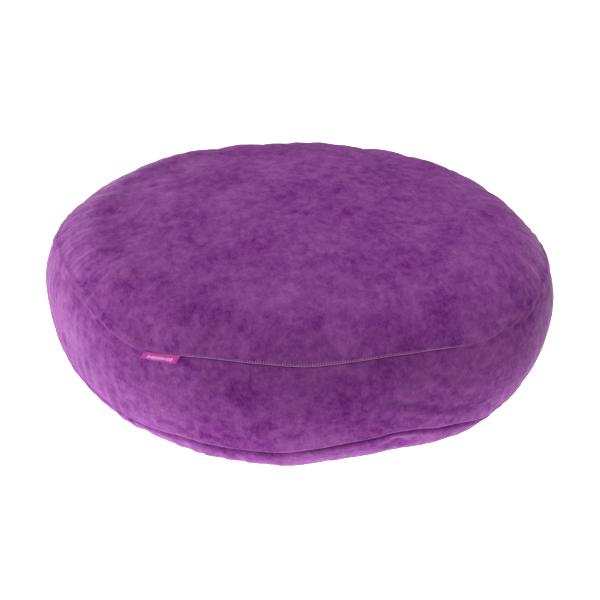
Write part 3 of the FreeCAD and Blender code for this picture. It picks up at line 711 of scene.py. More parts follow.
def makeRearBands():
    azimuth, groove = bandColumns(zipStart, zipEnd)
    above = np.full_like(azimuth, widestLine - zipHalf)
    below = np.full_like(azimuth, widestLine + zipHalf)
    rows = panelRows(seamLip("underUpper"), zipLip(), widestLine - zipHalf - upperSeam)
    outer, inner = panelLayers(azimuth, upperLine(azimuth), above, rows, groove, "first")
    upper = makeShell("rearBandUpper", outer, inner, closed=False)
    rows = panelRows(zipLip(), seamLip("lower"), lowerSeam - widestLine - zipHalf)
    outer, inner = panelLayers(azimuth, below, lowerLine(azimuth), rows, groove)
    lower = makeShell("rearBandLower", outer, inner, closed=False)
    return upper, lower


topPanel = makeTopPanel()
bottomPanel = makeBottomPanel()
frontBand = makeFrontBand()
rearBandUpper, rearBandLower = makeRearBands()
print("cloth panels made")

# wadding under the cover, pressed in where the cover is

waddingFit = {
    "clear": 0.35 * mm,         # between the cover and the wadding
    "thick": 16 * mm,
    "hemReach": 14 * mm,        # it is thinner this far from a seam
    "upperHem": 4.6 * mm,
    "lowerHem": 10.5 * mm,
    "columns": 256,
    "step": 7 * mm,
    "zipReach": 16 * mm,
    "zipDepth": 4.2 * mm,
    "holeRadius": 18 * mm,
    "holeSides": 48,
    "seamClear": 2 * mm,
    "behind": (0.14, 0.24),     # the azimuth's sine where the zip's channel begins and is full
    "fadeFrom": 0.3,            # shares of its reach where a hem or the channel starts to fade
    "channelEnd": 1.3,
}


def waddingDepth(azimuth, along):
    # depth of the wadding's outside under the cover
    depth = cushion["cloth"] + waddingFit["clear"]
    fromUpper = np.abs(along - upperLine(azimuth))
    fromLower = np.abs(along - lowerLine(azimuth))
    reach = waddingFit["hemReach"]
    start = waddingFit["fadeFrom"] * reach
    hem = waddingFit["upperHem"] * (1 - smoothStep(fromUpper, start, reach))
    hem = np.maximum(hem, waddingFit["lowerHem"] * (1 - smoothStep(fromLower, start, reach)))
    fromZip = np.abs(meridian(along)[1] - widestHeight)
    zipReach = waddingFit["zipReach"]
    channel = waddingFit["zipDepth"] * smoothStep(np.sin(azimuth), *waddingFit["behind"])
    channel = channel * (1 - smoothStep(fromZip, zipReach, waddingFit["channelEnd"] * zipReach))
    return depth + np.maximum(hem, channel)


def makeWadding(name, first, last, firstPole=False, lastPole=False):
    # a layer between two edges, each given as its distance along the cover at every azimuth
    length = float(np.mean(last - first))
    back = cushion["cloth"] + waddingFit["clear"] + waddingFit["thick"]
    outer, inner = [], []
    for share in np.linspace(0, 1, round(length / waddingFit["step"]) + 1):
        along = first + share * (last - first)
        rise = relief(around, along, puff) - waddingDepth(around, along)
        outer.append(onCover(around, along, rise))
        inner.append(onCover(around, along, -back))
    outer, inner = np.array(outer), np.array(inner)
    outer[..., 2] = np.maximum(outer[..., 2], cushion["cloth"] + waddingFit["clear"])
    return makeShell(name, outer, inner, firstPole=firstPole, lastPole=lastPole)


def applied(piece):
    # the piece with its modifiers made real
    evaluated = piece.evaluated_get(bpy.context.evaluated_depsgraph_get())
    mesh = bpy.data.meshes.new_from_object(evaluated)
    piece.modifiers.clear()
    piece.data = mesh


def cutValveHole(piece):
    # the side wadding's hole round the valve
    low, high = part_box("valve_body")
    size = waddingFit["holeRadius"]
    work = bmesh.new()
    bmesh.ops.create_cone(work, cap_ends=True, segments=waddingFit["holeSides"], radius1=size,
                          radius2=size, depth=4 * size)
    bmesh.ops.rotate(work, verts=work.verts, matrix=Vector((0, 1, 0)).to_track_quat("Z", "Y").to_matrix())
    bmesh.ops.translate(work, verts=work.verts, vec=(0, (low.y + high.y) / 2, widestHeight))
    mesh = bpy.data.meshes.new("valveHole")
    work.to_mesh(mesh)
    work.free()
    cutter = linked("valveHole", mesh)
    hole = piece.modifiers.new("hole", "BOOLEAN")
    hole.operation = "DIFFERENCE"
    hole.solver = "EXACT"
    hole.object = cutter
    applied(piece)
    bpy.data.objects.remove(cutter)
    bpy.data.meshes.remove(mesh)


around = np.linspace(0, 2 * math.pi, waddingFit["columns"], endpoint=False)
upperEdge, lowerEdge = upperLine(around), lowerLine(around)
seamClear = waddingFit["seamClear"]
waddingTop = makeWadding("waddingTop", 0 * around, upperEdge - seamClear, firstPole=True)
waddingSide = makeWadding("waddingSide", upperEdge + seamClear, lowerEdge - seamClear)
waddingBottom = makeWadding("waddingBottom", lowerEdge + seamClear, wholeLength + 0 * around,
                            lastPole=True)
cutValveHole(waddingSide)
print("wadding made")


# node trees that lay stitches and coil loops along a line

def newTree(name, inputs):
    # a geometry tree with named inputs: label, socket type, value
    tree = bpy.data.node_groups.new(name, "GeometryNodeTree")
    tree.interface.new_socket("Geometry", in_out="INPUT", socket_type="NodeSocketGeometry")
    tree.interface.new_socket("Geometry", in_out="OUTPUT", socket_type="NodeSocketGeometry")
    for label, kind, value in inputs:
        socket = tree.interface.new_socket(label, in_out="INPUT", socket_type=f"NodeSocket{kind}")
        if value is not None:
            socket.default_value = value
    return tree


def addNode(tree, kind, links=None, **facts):
    # a node, with some settings, whose sockets are linked or set by name or number
    node = tree.nodes.new(kind)
    for key, value in facts.items():
        setattr(node, key, value)
    for socket, value in (links or {}).items():
        if isinstance(value, bpy.types.NodeSocket):
            tree.links.new(value, node.inputs[socket])
        else:
            node.inputs[socket].default_value = value
    return node


def mathNode(tree, operation, *values):
    return addNode(tree, "ShaderNodeMath", dict(enumerate(values)), operation=operation).outputs[0]


def rowStart(tree):
    # points along the line, a pitch apart, and the frame that stands on each
    given = tree.nodes.new("NodeGroupInput").outputs
    line = addNode(tree, "GeometryNodeMeshToCurve", {"Mesh": given["Geometry"]})
    spaced = addNode(tree, "GeometryNodeResampleCurve", {"Curve": line.outputs[0]}, mode="LENGTH")
    tree.links.new(given["Pitch"], spaced.inputs["Length"])
    tangent = tree.nodes.new("GeometryNodeInputTangent").outputs[0]
    outward = addNode(tree, "GeometryNodeInputNamedAttribute", {"Name": "outward"},
                      data_type="FLOAT_VECTOR").outputs[0]
    return given, spaced.outputs[0], tangent, outward


def rowEnd(tree, given, points, shape, rotation, scale):
    placed = addNode(tree, "GeometryNodeInstanceOnPoints",
                     {"Points": points, "Instance": shape, "Rotation": rotation, "Scale": scale})
    real = addNode(tree, "GeometryNodeRealizeInstances", {"Geometry": placed.outputs[0]})
    smooth = addNode(tree, "GeometryNodeSetShadeSmooth", {"Geometry": real.outputs[0]})
    finish = addNode(tree, "GeometryNodeSetMaterial",
                     {"Geometry": smooth.outputs[0], "Material": given["Finish"]})
    tree.links.new(finish.outputs[0], tree.nodes.new("NodeGroupOutput").inputs[0])
    return tree


def stitchTree():
    tree = newTree("stitchRow", [
        ("Pitch", "Float", 2.8 * mm), ("Length", "Float", 2 * mm), ("Thread", "Float", 0.5 * mm),
        ("Slant", "Float", 0.0), ("Uneven", "Float", 0.15), ("Seed", "Int", 1),
        ("Finish", "Material", None)])
    given, points, tangent, outward = rowStart(tree)
    along = addNode(tree, "FunctionNodeAlignRotationToVector", {"Vector": tangent}, axis="X")
    upright = addNode(tree, "FunctionNodeAlignRotationToVector",
                      {"Rotation": along.outputs[0], "Vector": outward}, axis="Z", pivot_axis="X")
    least = mathNode(tree, "SUBTRACT", 1.0, given["Uneven"])
    most = mathNode(tree, "ADD", 1.0, given["Uneven"])
    vary = addNode(tree, "FunctionNodeRandomValue", data_type="FLOAT")
    tree.links.new(least, vary.inputs[2])
    tree.links.new(most, vary.inputs[3])
    tree.links.new(given["Seed"], vary.inputs["Seed"])
    lean = mathNode(tree, "MULTIPLY", given["Slant"], vary.outputs[1])
    turn = addNode(tree, "ShaderNodeCombineXYZ", {"Z": lean})
    turned = addNode(tree, "FunctionNodeRotateRotation",
                     {"Rotation": upright.outputs[0], "Rotate By": turn.outputs[0]},
                     rotation_space="LOCAL")
    half = mathNode(tree, "MULTIPLY", mathNode(tree, "MULTIPLY", given["Length"], 0.5), vary.outputs[1])
    thin = mathNode(tree, "MULTIPLY", given["Thread"], 0.5)
    size = addNode(tree, "ShaderNodeCombineXYZ", {"X": half, "Y": thin, "Z": thin})
    grain = addNode(tree, "GeometryNodeMeshUVSphere", {"Segments": 6, "Rings": 5, "Radius": 1.0})
    return rowEnd(tree, given, points, grain.outputs[0], turned.outputs[0], size.outputs[0])


def coilTree():
    tree = newTree("coilRow", [
        ("Pitch", "Float", 1.5 * mm), ("Reach", "Float", 2.3 * mm), ("Height", "Float", 3.2 * mm),
        ("Wire", "Float", 0.55 * mm), ("Lean", "Float", 0.2), ("Finish", "Material", None)])
    given, points, tangent, outward = rowStart(tree)
    along = addNode(tree, "FunctionNodeAlignRotationToVector", {"Vector": tangent}, axis="Z")
    upright = addNode(tree, "FunctionNodeAlignRotationToVector",
                      {"Rotation": along.outputs[0], "Vector": outward}, axis="X", pivot_axis="Z")
    turn = addNode(tree, "ShaderNodeCombineXYZ", {"X": given["Lean"]})
    turned = addNode(tree, "FunctionNodeRotateRotation",
                     {"Rotation": upright.outputs[0], "Rotate By": turn.outputs[0]},
                     rotation_space="LOCAL")
    ring = addNode(tree, "GeometryNodeCurvePrimitiveCircle", {"Resolution": 9, "Radius": 0.5})
    shape = addNode(tree, "ShaderNodeCombineXYZ", {"X": given["Reach"], "Y": given["Height"], "Z": 1.0})
    loop = addNode(tree, "GeometryNodeTransform",
                   {"Geometry": ring.outputs[0], "Scale": shape.outputs[0]})
    wire = addNode(tree, "GeometryNodeCurvePrimitiveCircle",
                   {"Resolution": 4, "Radius": mathNode(tree, "MULTIPLY", given["Wire"], 0.5)})
    swept = addNode(tree, "GeometryNodeCurveToMesh",
                    {"Curve": loop.outputs[0], "Profile Curve": wire.outputs[0]})
    return rowEnd(tree, given, points, swept.outputs[0], turned.outputs[0], (1.0, 1.0, 1.0))


def makeRow(name, tree, lines, values):
    # a piece grown by a tree along lines of points; each line is points, outward directions, closed
    spots, outs, edges = [], [], []
    for points, outward, closed in lines:
        start, count = len(spots), len(points)
        spots += points.tolist()
        outs += outward.tolist()
        edges += [(start + step, start + step + 1) for step in range(count - 1)]
        if closed:
            edges.append((start + count - 1, start))
    mesh = bpy.data.meshes.new(name)
    mesh.from_pydata(spots, edges, [])
    mesh.attributes.new("outward", "FLOAT_VECTOR", "POINT")
    mesh.attributes["outward"].data.foreach_set("vector", np.array(outs).ravel())
    piece = linked(name, mesh)
    grow = piece.modifiers.new("grow", "NODES")
    grow.node_group = tree
    for item in tree.interface.items_tree:
        if item.item_type == "SOCKET" and item.in_out == "INPUT" and item.name in values:
            grow[item.identifier] = values[item.name]
    applied(piece)
    if "outward" in piece.data.attributes:
        piece.data.attributes.remove(piece.data.attributes["outward"])
    return piece


def makeThread(name, points, outward, thickness, sides=6):
    # one thread lying all the way round a closed line
    ahead = np.roll(points, -1, 0) - np.roll(points, 1, 0)
    ahead /= np.linalg.norm(ahead, axis=1, keepdims=True)
    across = np.cross(ahead, outward)
    across /= np.linalg.norm(across, axis=1, keepdims=True)
    up = np.cross(across, ahead)
    turns = np.arange(sides) * 2 * math.pi / sides
    ring = across[:, None] * np.cos(turns)[None, :, None] + up[:, None] * np.sin(turns)[None, :, None]
    spots = points[:, None] + ring * thickness / 2
    grid = np.arange(len(points) * sides).reshape(len(points), sides)
    beside = np.roll(grid, -1, 1)
    quads = np.stack([grid, np.roll(grid, -1, 0), np.roll(beside, -1, 0), beside], -1)
    mesh = bpy.data.meshes.new(name)
    mesh.from_pydata(spots.reshape(-1, 3).tolist(), [], quads.reshape(-1, 4).tolist())
    piece = linked(name, mesh)
    tidyMesh(piece, weld=False)
    return piece


# finishes

def newMaterial(name, roughness, **values):
    # a material with one Principled shader; values are set on the shader's own sockets
    material = bpy.data.materials.new(name)
    material.use_nodes = True
    tree = material.node_tree
    shader = tree.nodes["Principled BSDF"]
    shader.inputs["Roughness"].default_value = roughness
    for key, value in values.items():
        label = {"sheen": "Sheen Weight", "sheenRoughness": "Sheen Roughness", "sheenTint": "Sheen Tint",
                 "coat": "Coat Weight", "specular": "Specular IOR Level"}[key]
        shader.inputs[label].default_value = value
    return material, tree, shader


def objectPlace(tree):
    return tree.nodes.new("ShaderNodeTexCoord").outputs["Object"]


def noise(tree, place, scale, detail=4.0, roughness=0.5, distortion=0.0):
    return addNode(tree, "ShaderNodeTexNoise", {"Vector": place, "Scale": scale, "Detail": detail,
                                                "Roughness": roughness, "Distortion": distortion}
                   ).outputs["Fac"]


def stretched(tree, value, low, high, toLow=0.0, toHigh=1.0):
    node = addNode(tree, "ShaderNodeMapRange", {"Value": value, "From Min": low, "From Max": high,
                                                "To Min": toLow, "To Max": toHigh})
    return node.outputs[0]


def blended(tree, share, first, second):
    node = addNode(tree, "ShaderNodeMix", data_type="RGBA")
    for socket, value in ((0, share), (6, first), (7, second)):
        if isinstance(value, bpy.types.NodeSocket):
            tree.links.new(value, node.inputs[socket])
        else:
            node.inputs[socket].default_value = value
    return node.outputs[2]


def bumped(tree, shader, height, distance, strength=1.0):
    bump = addNode(tree, "ShaderNodeBump", {"Height": height, "Distance": distance, "Strength": strength})
    tree.links.new(bump.outputs[0], shader.inputs["Normal"])


def newGroup(name, inputs, outputs):
    group = bpy.data.node_groups.new(name, "ShaderNodeTree")
    for label, kind, value in inputs:
        socket = group.interface.new_socket(label, in_out="INPUT", socket_type=f"NodeSocket{kind}")
        socket.default_value = value
    for label, kind in outputs:
        group.interface.new_socket(label, in_out="OUTPUT", socket_type=f"NodeSocket{kind}")
    return group, group.nodes.new("NodeGroupInput").outputs, group.nodes.new("NodeGroupOutput").inputs


def useGroup(tree, group, **values):
    node = tree.nodes.new("ShaderNodeGroup")
    node.node_tree = group
    for label, value in values.items():
        if isinstance(value, bpy.types.NodeSocket):
            tree.links.new(value, node.inputs[label])
        else:
            node.inputs[label].default_value = value
    return node.outputs


def weighted(tree, *parts):
    # the sum of some values, each times its weight
    total = None
    for value, weight in parts:
        part = mathNode(tree, "MULTIPLY", value, weight)
        total = part if total is None else mathNode(tree, "ADD", total, part)
    return total


def coloured(tree, shader, tone, look):
    tree.links.new(blended(tree, tone, look["dark"], look["light"]), shader.inputs["Base Color"])


def roughened(tree, shader, value, ends):
    # ends: what the value runs between, then the roughness there
    tree.links.new(stretched(tree, value, *ends), shader.inputs["Roughness"])


# noises are given as detail, roughness and distortion, after their scale where that is fixed
fibreLook = {
    "coarse": (60.0, 3.0, 0.6),
    "fine": (3.0, 0.7),
    "coarseShare": 0.4,
    "fineShare": 0.6,
}


def fibreGroup():
    # the yarn of thread, webbing and woven cloth: fine ridges across a noise of tone
    group, given, out = newGroup(
        "fibre", [("Place", "Vector", (0, 0, 0)), ("Fineness", "Float", 900.0)],
        [("Tone", "Float"), ("Height", "Float")])
    coarse = noise(group, given["Place"], *fibreLook["coarse"])
    fine = noise(group, given["Place"], given["Fineness"], *fibreLook["fine"])
    tone = weighted(group, (coarse, fibreLook["coarseShare"]), (fine, fibreLook["fineShare"]))
    group.links.new(tone, out["Tone"])
    group.links.new(fine, out["Height"])
    return group


napLook = {
    "brushedWay": (0.85, 0.6, 1.0),     # patches and streaks are drawn out along Y
    "wovenWay": (1.0, 0.5, 0.5),
    "patch": (5.0, 0.6, 0.3),
    "streak": (6.0, 0.7, 0.2),
    "grain": (3.0, 0.7),
    "patchShare": 0.33,
    "streakShare": 0.44,
    "grainShare": 0.23,
}


def napGroup():
    # brushed pile: broad patches, short streaks and a fine grain, as one tone from 0 to 1
    group, given, out = newGroup(
        "brushedNap",
        [("Place", "Vector", (0, 0, 0)), ("Patch", "Float", 17.0), ("Streak", "Float", 60.0),
         ("Grain", "Float", 420.0), ("Low", "Float", 0.4), ("High", "Float", 0.6)],
        [("Tone", "Float"), ("Height", "Float")])
    brushed, woven = [addNode(group, "ShaderNodeVectorMath", {0: given["Place"], 1: napLook[way]},
                              operation="MULTIPLY").outputs[0] for way in ("brushedWay", "wovenWay")]
    patch = noise(group, brushed, given["Patch"], *napLook["patch"])
    streak = noise(group, brushed, given["Streak"], *napLook["streak"])
    grain = noise(group, woven, given["Grain"], *napLook["grain"])
    tone = weighted(group, (patch, napLook["patchShare"]), (streak, napLook["streakShare"]),
                    (grain, napLook["grainShare"]))
    group.links.new(stretched(group, tone, given["Low"], given["High"]), out["Tone"])
    group.links.new(mathNode(group, "ADD", grain, streak), out["Height"])
    return group


def makePlush(nap):
    # short velour pile in a random tone, saturated where it is dark; its paler brushed patches are partly
    # the pile's own tone and partly painted sheen
    look = {
        "dark": (0.125, 0.007, 0.156, 1),
        # the light colour is paler and whiter partly as painted sheen
        "light": (0.292, 0.080, 0.304, 1),
        "patch": 17.0,              # patches, streaks and grains to the metre
        "streak": 95.0,
        "grain": 520.0,
        "low": 0.385,
        "high": 0.615,
        "rough": (0, 1, 0.95, 0.75),
        "bump": (0.7 * mm, 0.8),
    }
    material, tree, shader = newMaterial("plushVelour", 0.85, sheen=0.36, sheenRoughness=0.35,
                                         sheenTint=(0.90, 0.66, 0.91, 1), specular=0.06)
    tone = useGroup(tree, nap, Place=objectPlace(tree), Patch=look["patch"], Streak=look["streak"],
                    Grain=look["grain"], Low=look["low"], High=look["high"])
    # base colour from the nap tone: the paler end is partly painted sheen
    coloured(tree, shader, tone["Tone"], look)
    roughened(tree, shader, tone["Tone"], look["rough"])
    bumped(tree, shader, tone["Height"], *look["bump"])
    return material


threadLook = {
    "dark": (0.42, 0.12, 0.46, 1),
    "light": (0.78, 0.38, 0.80, 1),
    "fineness": 2600.0,
    "bump": 0.08 * mm,
}


def makeThreadFinish(fibre):
    material, tree, shader = newMaterial("lilacThread", 0.6, specular=0.2)
    grain = useGroup(tree, fibre, Place=objectPlace(tree), Fineness=threadLook["fineness"])
    coloured(tree, shader, grain["Tone"], threadLook)
    bumped(tree, shader, grain["Height"], threadLook["bump"])
    return material


tapeLook = {
    "dark": (0.075, 0.016, 0.085, 1),
    "light": (0.17, 0.045, 0.19, 1),
    "fineness": 1500.0,
    "twill": {"Scale": 420.0, "Distortion": 1.5, "Detail": 2.0},
    "bump": 0.2 * mm,
}


def makeTapeFinish(fibre):
    # herringbone zip tape
    material, tree, shader = newMaterial("zipTapeWeave", 0.75, sheen=0.3, sheenRoughness=0.5,
                                         sheenTint=(0.7, 0.5, 0.8, 1))
    place = objectPlace(tree)
    grain = useGroup(tree, fibre, Place=place, Fineness=tapeLook["fineness"])
    twill = addNode(tree, "ShaderNodeTexWave", {"Vector": place, **tapeLook["twill"]},
                    bands_direction="DIAGONAL").outputs["Fac"]
    mixed = weighted(tree, (twill, 0.5), (grain["Tone"], 0.5))
    coloured(tree, shader, mixed, tapeLook)
    bumped(tree, shader, mixed, tapeLook["bump"])
    return material


coilLook = {
    "dark": (0.11, 0.022, 0.125, 1),
    "light": (0.20, 0.050, 0.22, 1),
    "fineness": 700.0,
    "rough": (0, 1, 0.3, 0.5),
}


def makeCoilFinish(fibre):
    material, tree, shader = newMaterial("nylonCoil", 0.38, coat=0.1)
    grain = useGroup(tree, fibre, Place=objectPlace(tree), Fineness=coilLook["fineness"])
    coloured(tree, shader, grain["Tone"], coilLook)
    roughened(tree, shader, grain["Tone"], coilLook["rough"])
    return material


metalLook = {
    "rub": (420.0, 5.0, 0.7),
    "pits": (2200.0, 2.0, 0.6),
    "worn": (0.57, 0.66, 0, 0.85),      # the rub at which it starts and is full, and how much
    "dark": (0.085, 0.018, 0.100, 1),
    "light": (0.150, 0.040, 0.170, 1),
    "bare": (0.30, 0.28, 0.32, 1),
    "rough": (0.3, 0.7, 0.30, 0.48),
    "bump": 0.03 * mm,
}


def makeMetalFinish():
    # zinc under purple enamel that has rubbed off in places
    material, tree, shader = newMaterial("paintedZinc", 0.35, coat=0.2, specular=0.35)
    place = objectPlace(tree)
    rub = noise(tree, place, *metalLook["rub"])
    pits = noise(tree, place, *metalLook["pits"])
    worn = stretched(tree, rub, *metalLook["worn"])
    enamel = blended(tree, pits, metalLook["dark"], metalLook["light"])
    tree.links.new(blended(tree, worn, enamel, metalLook["bare"]), shader.inputs["Base Color"])
    tree.links.new(worn, shader.inputs["Metallic"])
    roughened(tree, shader, rub, metalLook["rough"])
    bumped(tree, shader, pits, metalLook["bump"])
    return material


def makeLabelFinish(fibre):
    # woven satin with a row of small bars
    look = {
        "dark": (0.36, 0.010, 0.25, 1),
        "light": (0.56, 0.035, 0.40, 1),
        "yarn": (0.78, 0.36, 0.66, 1),
        "bars": 19.0,
        "barWidth": 0.33,           # half a bar and half the row, as shares
        "rowWidth": 0.36,
        "barHeight": (0.035, 0.10),
        "row": 0.24,                # how far down the weave the row runs
        "ribs": 26.0,
        "fineness": 1800.0,
        "bump": 0.1 * mm,
    }
    material, tree, shader = newMaterial("wovenLabel", 0.5, sheen=0.1, sheenRoughness=0.4,
                                         sheenTint=(1.0, 0.5, 0.85, 1), specular=0.25)
    uv = tree.nodes.new("ShaderNodeUVMap")
    uv.uv_map = "labelWeave"
    split = addNode(tree, "ShaderNodeSeparateXYZ", {"Vector": uv.outputs[0]})
    across, down = split.outputs[0], split.outputs[1]
    grain = useGroup(tree, fibre, Place=objectPlace(tree), Fineness=look["fineness"])
    step = mathNode(tree, "FRACT", mathNode(tree, "MULTIPLY", across, look["bars"]))
    count = mathNode(tree, "FLOOR", mathNode(tree, "MULTIPLY", across, look["bars"]))
    tall = addNode(tree, "ShaderNodeTexWhiteNoise", {"W": count}, noise_dimensions="1D").outputs["Value"]
    half = stretched(tree, tall, 0, 1, *look["barHeight"])
    fromRow = mathNode(tree, "ABSOLUTE", mathNode(tree, "SUBTRACT", down, look["row"]))
    bar = mathNode(tree, "LESS_THAN", fromRow, half)
    fromBar = mathNode(tree, "ABSOLUTE", mathNode(tree, "SUBTRACT", step, 0.5))
    wide = mathNode(tree, "LESS_THAN", fromBar, look["barWidth"])
    fromMiddle = mathNode(tree, "ABSOLUTE", mathNode(tree, "SUBTRACT", across, 0.5))
    inside = mathNode(tree, "LESS_THAN", fromMiddle, look["rowWidth"])
    motif = mathNode(tree, "MULTIPLY", mathNode(tree, "MULTIPLY", bar, wide), inside)
    ground = blended(tree, grain["Tone"], look["dark"], look["light"])
    tree.links.new(blended(tree, motif, ground, look["yarn"]), shader.inputs["Base Color"])
    ribs = addNode(tree, "ShaderNodeTexWave", {"Vector": uv.outputs[0], "Scale": look["ribs"]},
                   bands_direction="Y").outputs["Fac"]
    height = mathNode(tree, "ADD", mathNode(tree, "MULTIPLY", ribs, 0.5),
                      mathNode(tree, "ADD", motif, grain["Height"]))
    bumped(tree, shader, height, look["bump"])
    return material


fillLook = {
    "dark": (0.62, 0.60, 0.56, 1),
    "light": (0.92, 0.91, 0.88, 1),
    "fineness": 500.0,
    "tuft": (90.0, 6.0, 0.75, 1.5),
    "tuftShare": 0.6,
    "fibreShare": 0.4,
    "bump": 1.5 * mm,
}


def makeWaddingFinish(fibre):
    material, tree, shader = newMaterial("fibreWadding", 0.95, sheen=0.5, sheenRoughness=0.6,
                                         sheenTint=(1, 1, 1, 1), specular=0.1)
    place = objectPlace(tree)
    grain = useGroup(tree, fibre, Place=place, Fineness=fillLook["fineness"])
    tuft = noise(tree, place, *fillLook["tuft"])
    mixed = weighted(tree, (tuft, fillLook["tuftShare"]), (grain["Tone"], fillLook["fibreShare"]))
    coloured(tree, shader, mixed, fillLook)
    bumped(tree, shader, mixed, fillLook["bump"])
    return material


filmLook = {
    "cloud": (8.0, 4.0, 0.6),
    "grain": (1200.0, 2.0, 0.5),
    "dark": (0.42, 0.47, 0.52, 1),
    "light": (0.58, 0.63, 0.68, 1),
    "roughBy": "cloud",
    "rough": (0.3, 0.7, 0.22, 0.4),
    "bump": 0.05 * mm,
}
valveLook = {
    "cloud": (60.0, 3.0, 0.5),
    "grain": (700.0, 3.0, 0.6),
    "dark": (0.56, 0.56, 0.55, 1),
    "light": (0.72, 0.72, 0.70, 1),
    "roughBy": "grain",
    "rough": (0.3, 0.7, 0.36, 0.5),
    "bump": 0.04 * mm,
}


def makePlasticFinish(name, roughness, look, **values):
    # cloudy plastic with a fine grain: the chamber's milky film, and the moulded valve
    material, tree, shader = newMaterial(name, roughness, **values)
    place = objectPlace(tree)
    noises = {kind: noise(tree, place, *look[kind]) for kind in ("cloud", "grain")}
    coloured(tree, shader, noises["cloud"], look)
    roughened(tree, shader, noises[look["roughBy"]], look["rough"])
    bumped(tree, shader, noises["grain"], look["bump"])
    return material


fibre = fibreGroup()
finishes = {
    "plush": makePlush(napGroup()),
    "thread": makeThreadFinish(fibre),
    "zip_tape": makeTapeFinish(fibre),
    "zip_coil": makeCoilFinish(fibre),
    "zip_metal": makeMetalFinish(),
    "label": makeLabelFinish(fibre),
    "wadding": makeWaddingFinish(fibre),
    "chamber_film": makePlasticFinish("chamberFilm", 0.3, filmLook, coat=0.2),
    "valve_plastic": makePlasticFinish("valvePlastic", 0.42, valveLook, specular=0.45),
}
print("finishes made")


# seam threads, stitches and zip coils

seamSewing = {
    "threadDepth": 0.1 * mm,
    "threadThickness": 0.5 * mm,
    "rungUp": 1.7 * mm,         # centre of the cross stitches, above the seam line
    "rungSink": -0.15 * mm,
    "rungWander": 0.5 * mm,     # some lie this much deeper
    "wanderTurns": (11, 5),     # how often that comes and goes round the seam
    "pitch": 3.4 * mm,
    "length": 3.0 * mm,
    "thickness": 0.85 * mm,
    "slant": 1.45,
    "closedSink": 1.6 * mm,     # how much deeper the thread lies where the seam is closed
    "points": 900,
    "lowerDepth": 5 * mm,       # of the lower seam's thread, in its fold
    "uneven": 0.1,
    "seed": 5,
}

joinSewing = {
    "fromUpper": 4 * mm,
    "fromLower": 11 * mm,
    "points": 60,
    "sunk": 0.7,                # how deep in its groove, as a share
    "slant": 0.3,
    "uneven": 0.1,
    "seed": 9,
}

zipSewing = {
    "inset": 5 * mm,
    "lift": 0.1 * mm,
    "pitch": 3.0 * mm,
    "length": 2.5 * mm,
    "thickness": 0.55 * mm,
    "points": 300,
    "endClear": 0.006,          # radians
    "slant": 0.06,
    "uneven": 0.08,
    "seed": 3,
}

zipCoil = {
    "depth": 2.0 * mm,
    "offset": 1.25 * mm,        # of each coil's middle from the zip's middle line
    "pitch": 1.5 * mm,
    "reach": 2.2 * mm,
    "height": 3.3 * mm,
    "wire": 0.55 * mm,
    "lean": 0.16,
    "stagger": 0.25,            # a quarter loop for each side
    "endClear": 5 * mm,
}


def lineOnCover(azimuth, along, outward):
    rise = relief(azimuth, along, puff) + outward
    return onCover(azimuth, along, rise), coverNormal(azimuth, along)


def makeSeamSewing(name, seamLine, depth, node):
    azimuth = np.linspace(0, 2 * math.pi, seamSewing["points"], endpoint=False)
    along = seamLine(azimuth)
    hidden = depth + seamSewing["closedSink"] * (1 - opened(azimuth))
    thread = makeThread(f"{name}Thread",
                        *lineOnCover(azimuth, along, -hidden - seamSewing["threadDepth"]),
                        seamSewing["threadThickness"])
    thread.data.materials.append(finishes["thread"])
    quick, slow = seamSewing["wanderTurns"]
    wave = 0.5 + 0.5 * np.sin(azimuth * quick) * np.sin(azimuth * slow + 1)
    sink = hidden + seamSewing["rungSink"] + seamSewing["rungWander"] * wave
    rungs = makeRow(f"{name}Stitches", stitches,
                    [(*lineOnCover(azimuth, along - seamSewing["rungUp"], -sink), True)],
                    {"Pitch": seamSewing["pitch"], "Length": seamSewing["length"],
                     "Thread": seamSewing["thickness"], "Slant": seamSewing["slant"],
                     "Uneven": seamSewing["uneven"], "Seed": seamSewing["seed"],
                     "Finish": finishes["thread"]})
    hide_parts(node)
    return thread, rungs


def makeJoinSewing():
    # the two upright seams where the zip strips meet the front band
    lines = []
    for azimuth in (zipStart, zipEnd):
        along = np.linspace(upperLine(np.array([azimuth]))[0] + joinSewing["fromUpper"],
                            lowerLine(np.array([azimuth]))[0] - joinSewing["fromLower"],
                            joinSewing["points"])
        points, outward = lineOnCover(np.full_like(along, azimuth), along,
                                      -joinGroove["depth"] * joinSewing["sunk"])
        lines.append((points, outward, False))
    stitched = makeRow("bandJoinStitches", stitches, lines,
                       {"Pitch": seamSewing["pitch"], "Length": seamSewing["length"],
                        "Thread": seamSewing["thickness"], "Slant": joinSewing["slant"],
                        "Uneven": joinSewing["uneven"], "Seed": joinSewing["seed"],
                        "Finish": finishes["thread"]})
    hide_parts("band_join_thread_left", "band_join_thread_right")
    return stitched


def makeZipSewing(name, side, node):
    clear = zipSewing["endClear"]
    azimuth = np.linspace(zipStart + clear, zipEnd - clear, zipSewing["points"])
    along = np.full_like(azimuth, widestLine + side * (zipHalf + zipSewing["inset"]))
    points, outward = lineOnCover(azimuth, along, zipSewing["lift"])
    row = makeRow(name, stitches, [(points, outward, False)],
                  {"Pitch": zipSewing["pitch"], "Length": zipSewing["length"],
                   "Thread": zipSewing["thickness"], "Slant": zipSewing["slant"],
                   "Uneven": zipSewing["uneven"], "Seed": zipSewing["seed"],
                   "Finish": finishes["thread"]})
    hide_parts(node)
    return row


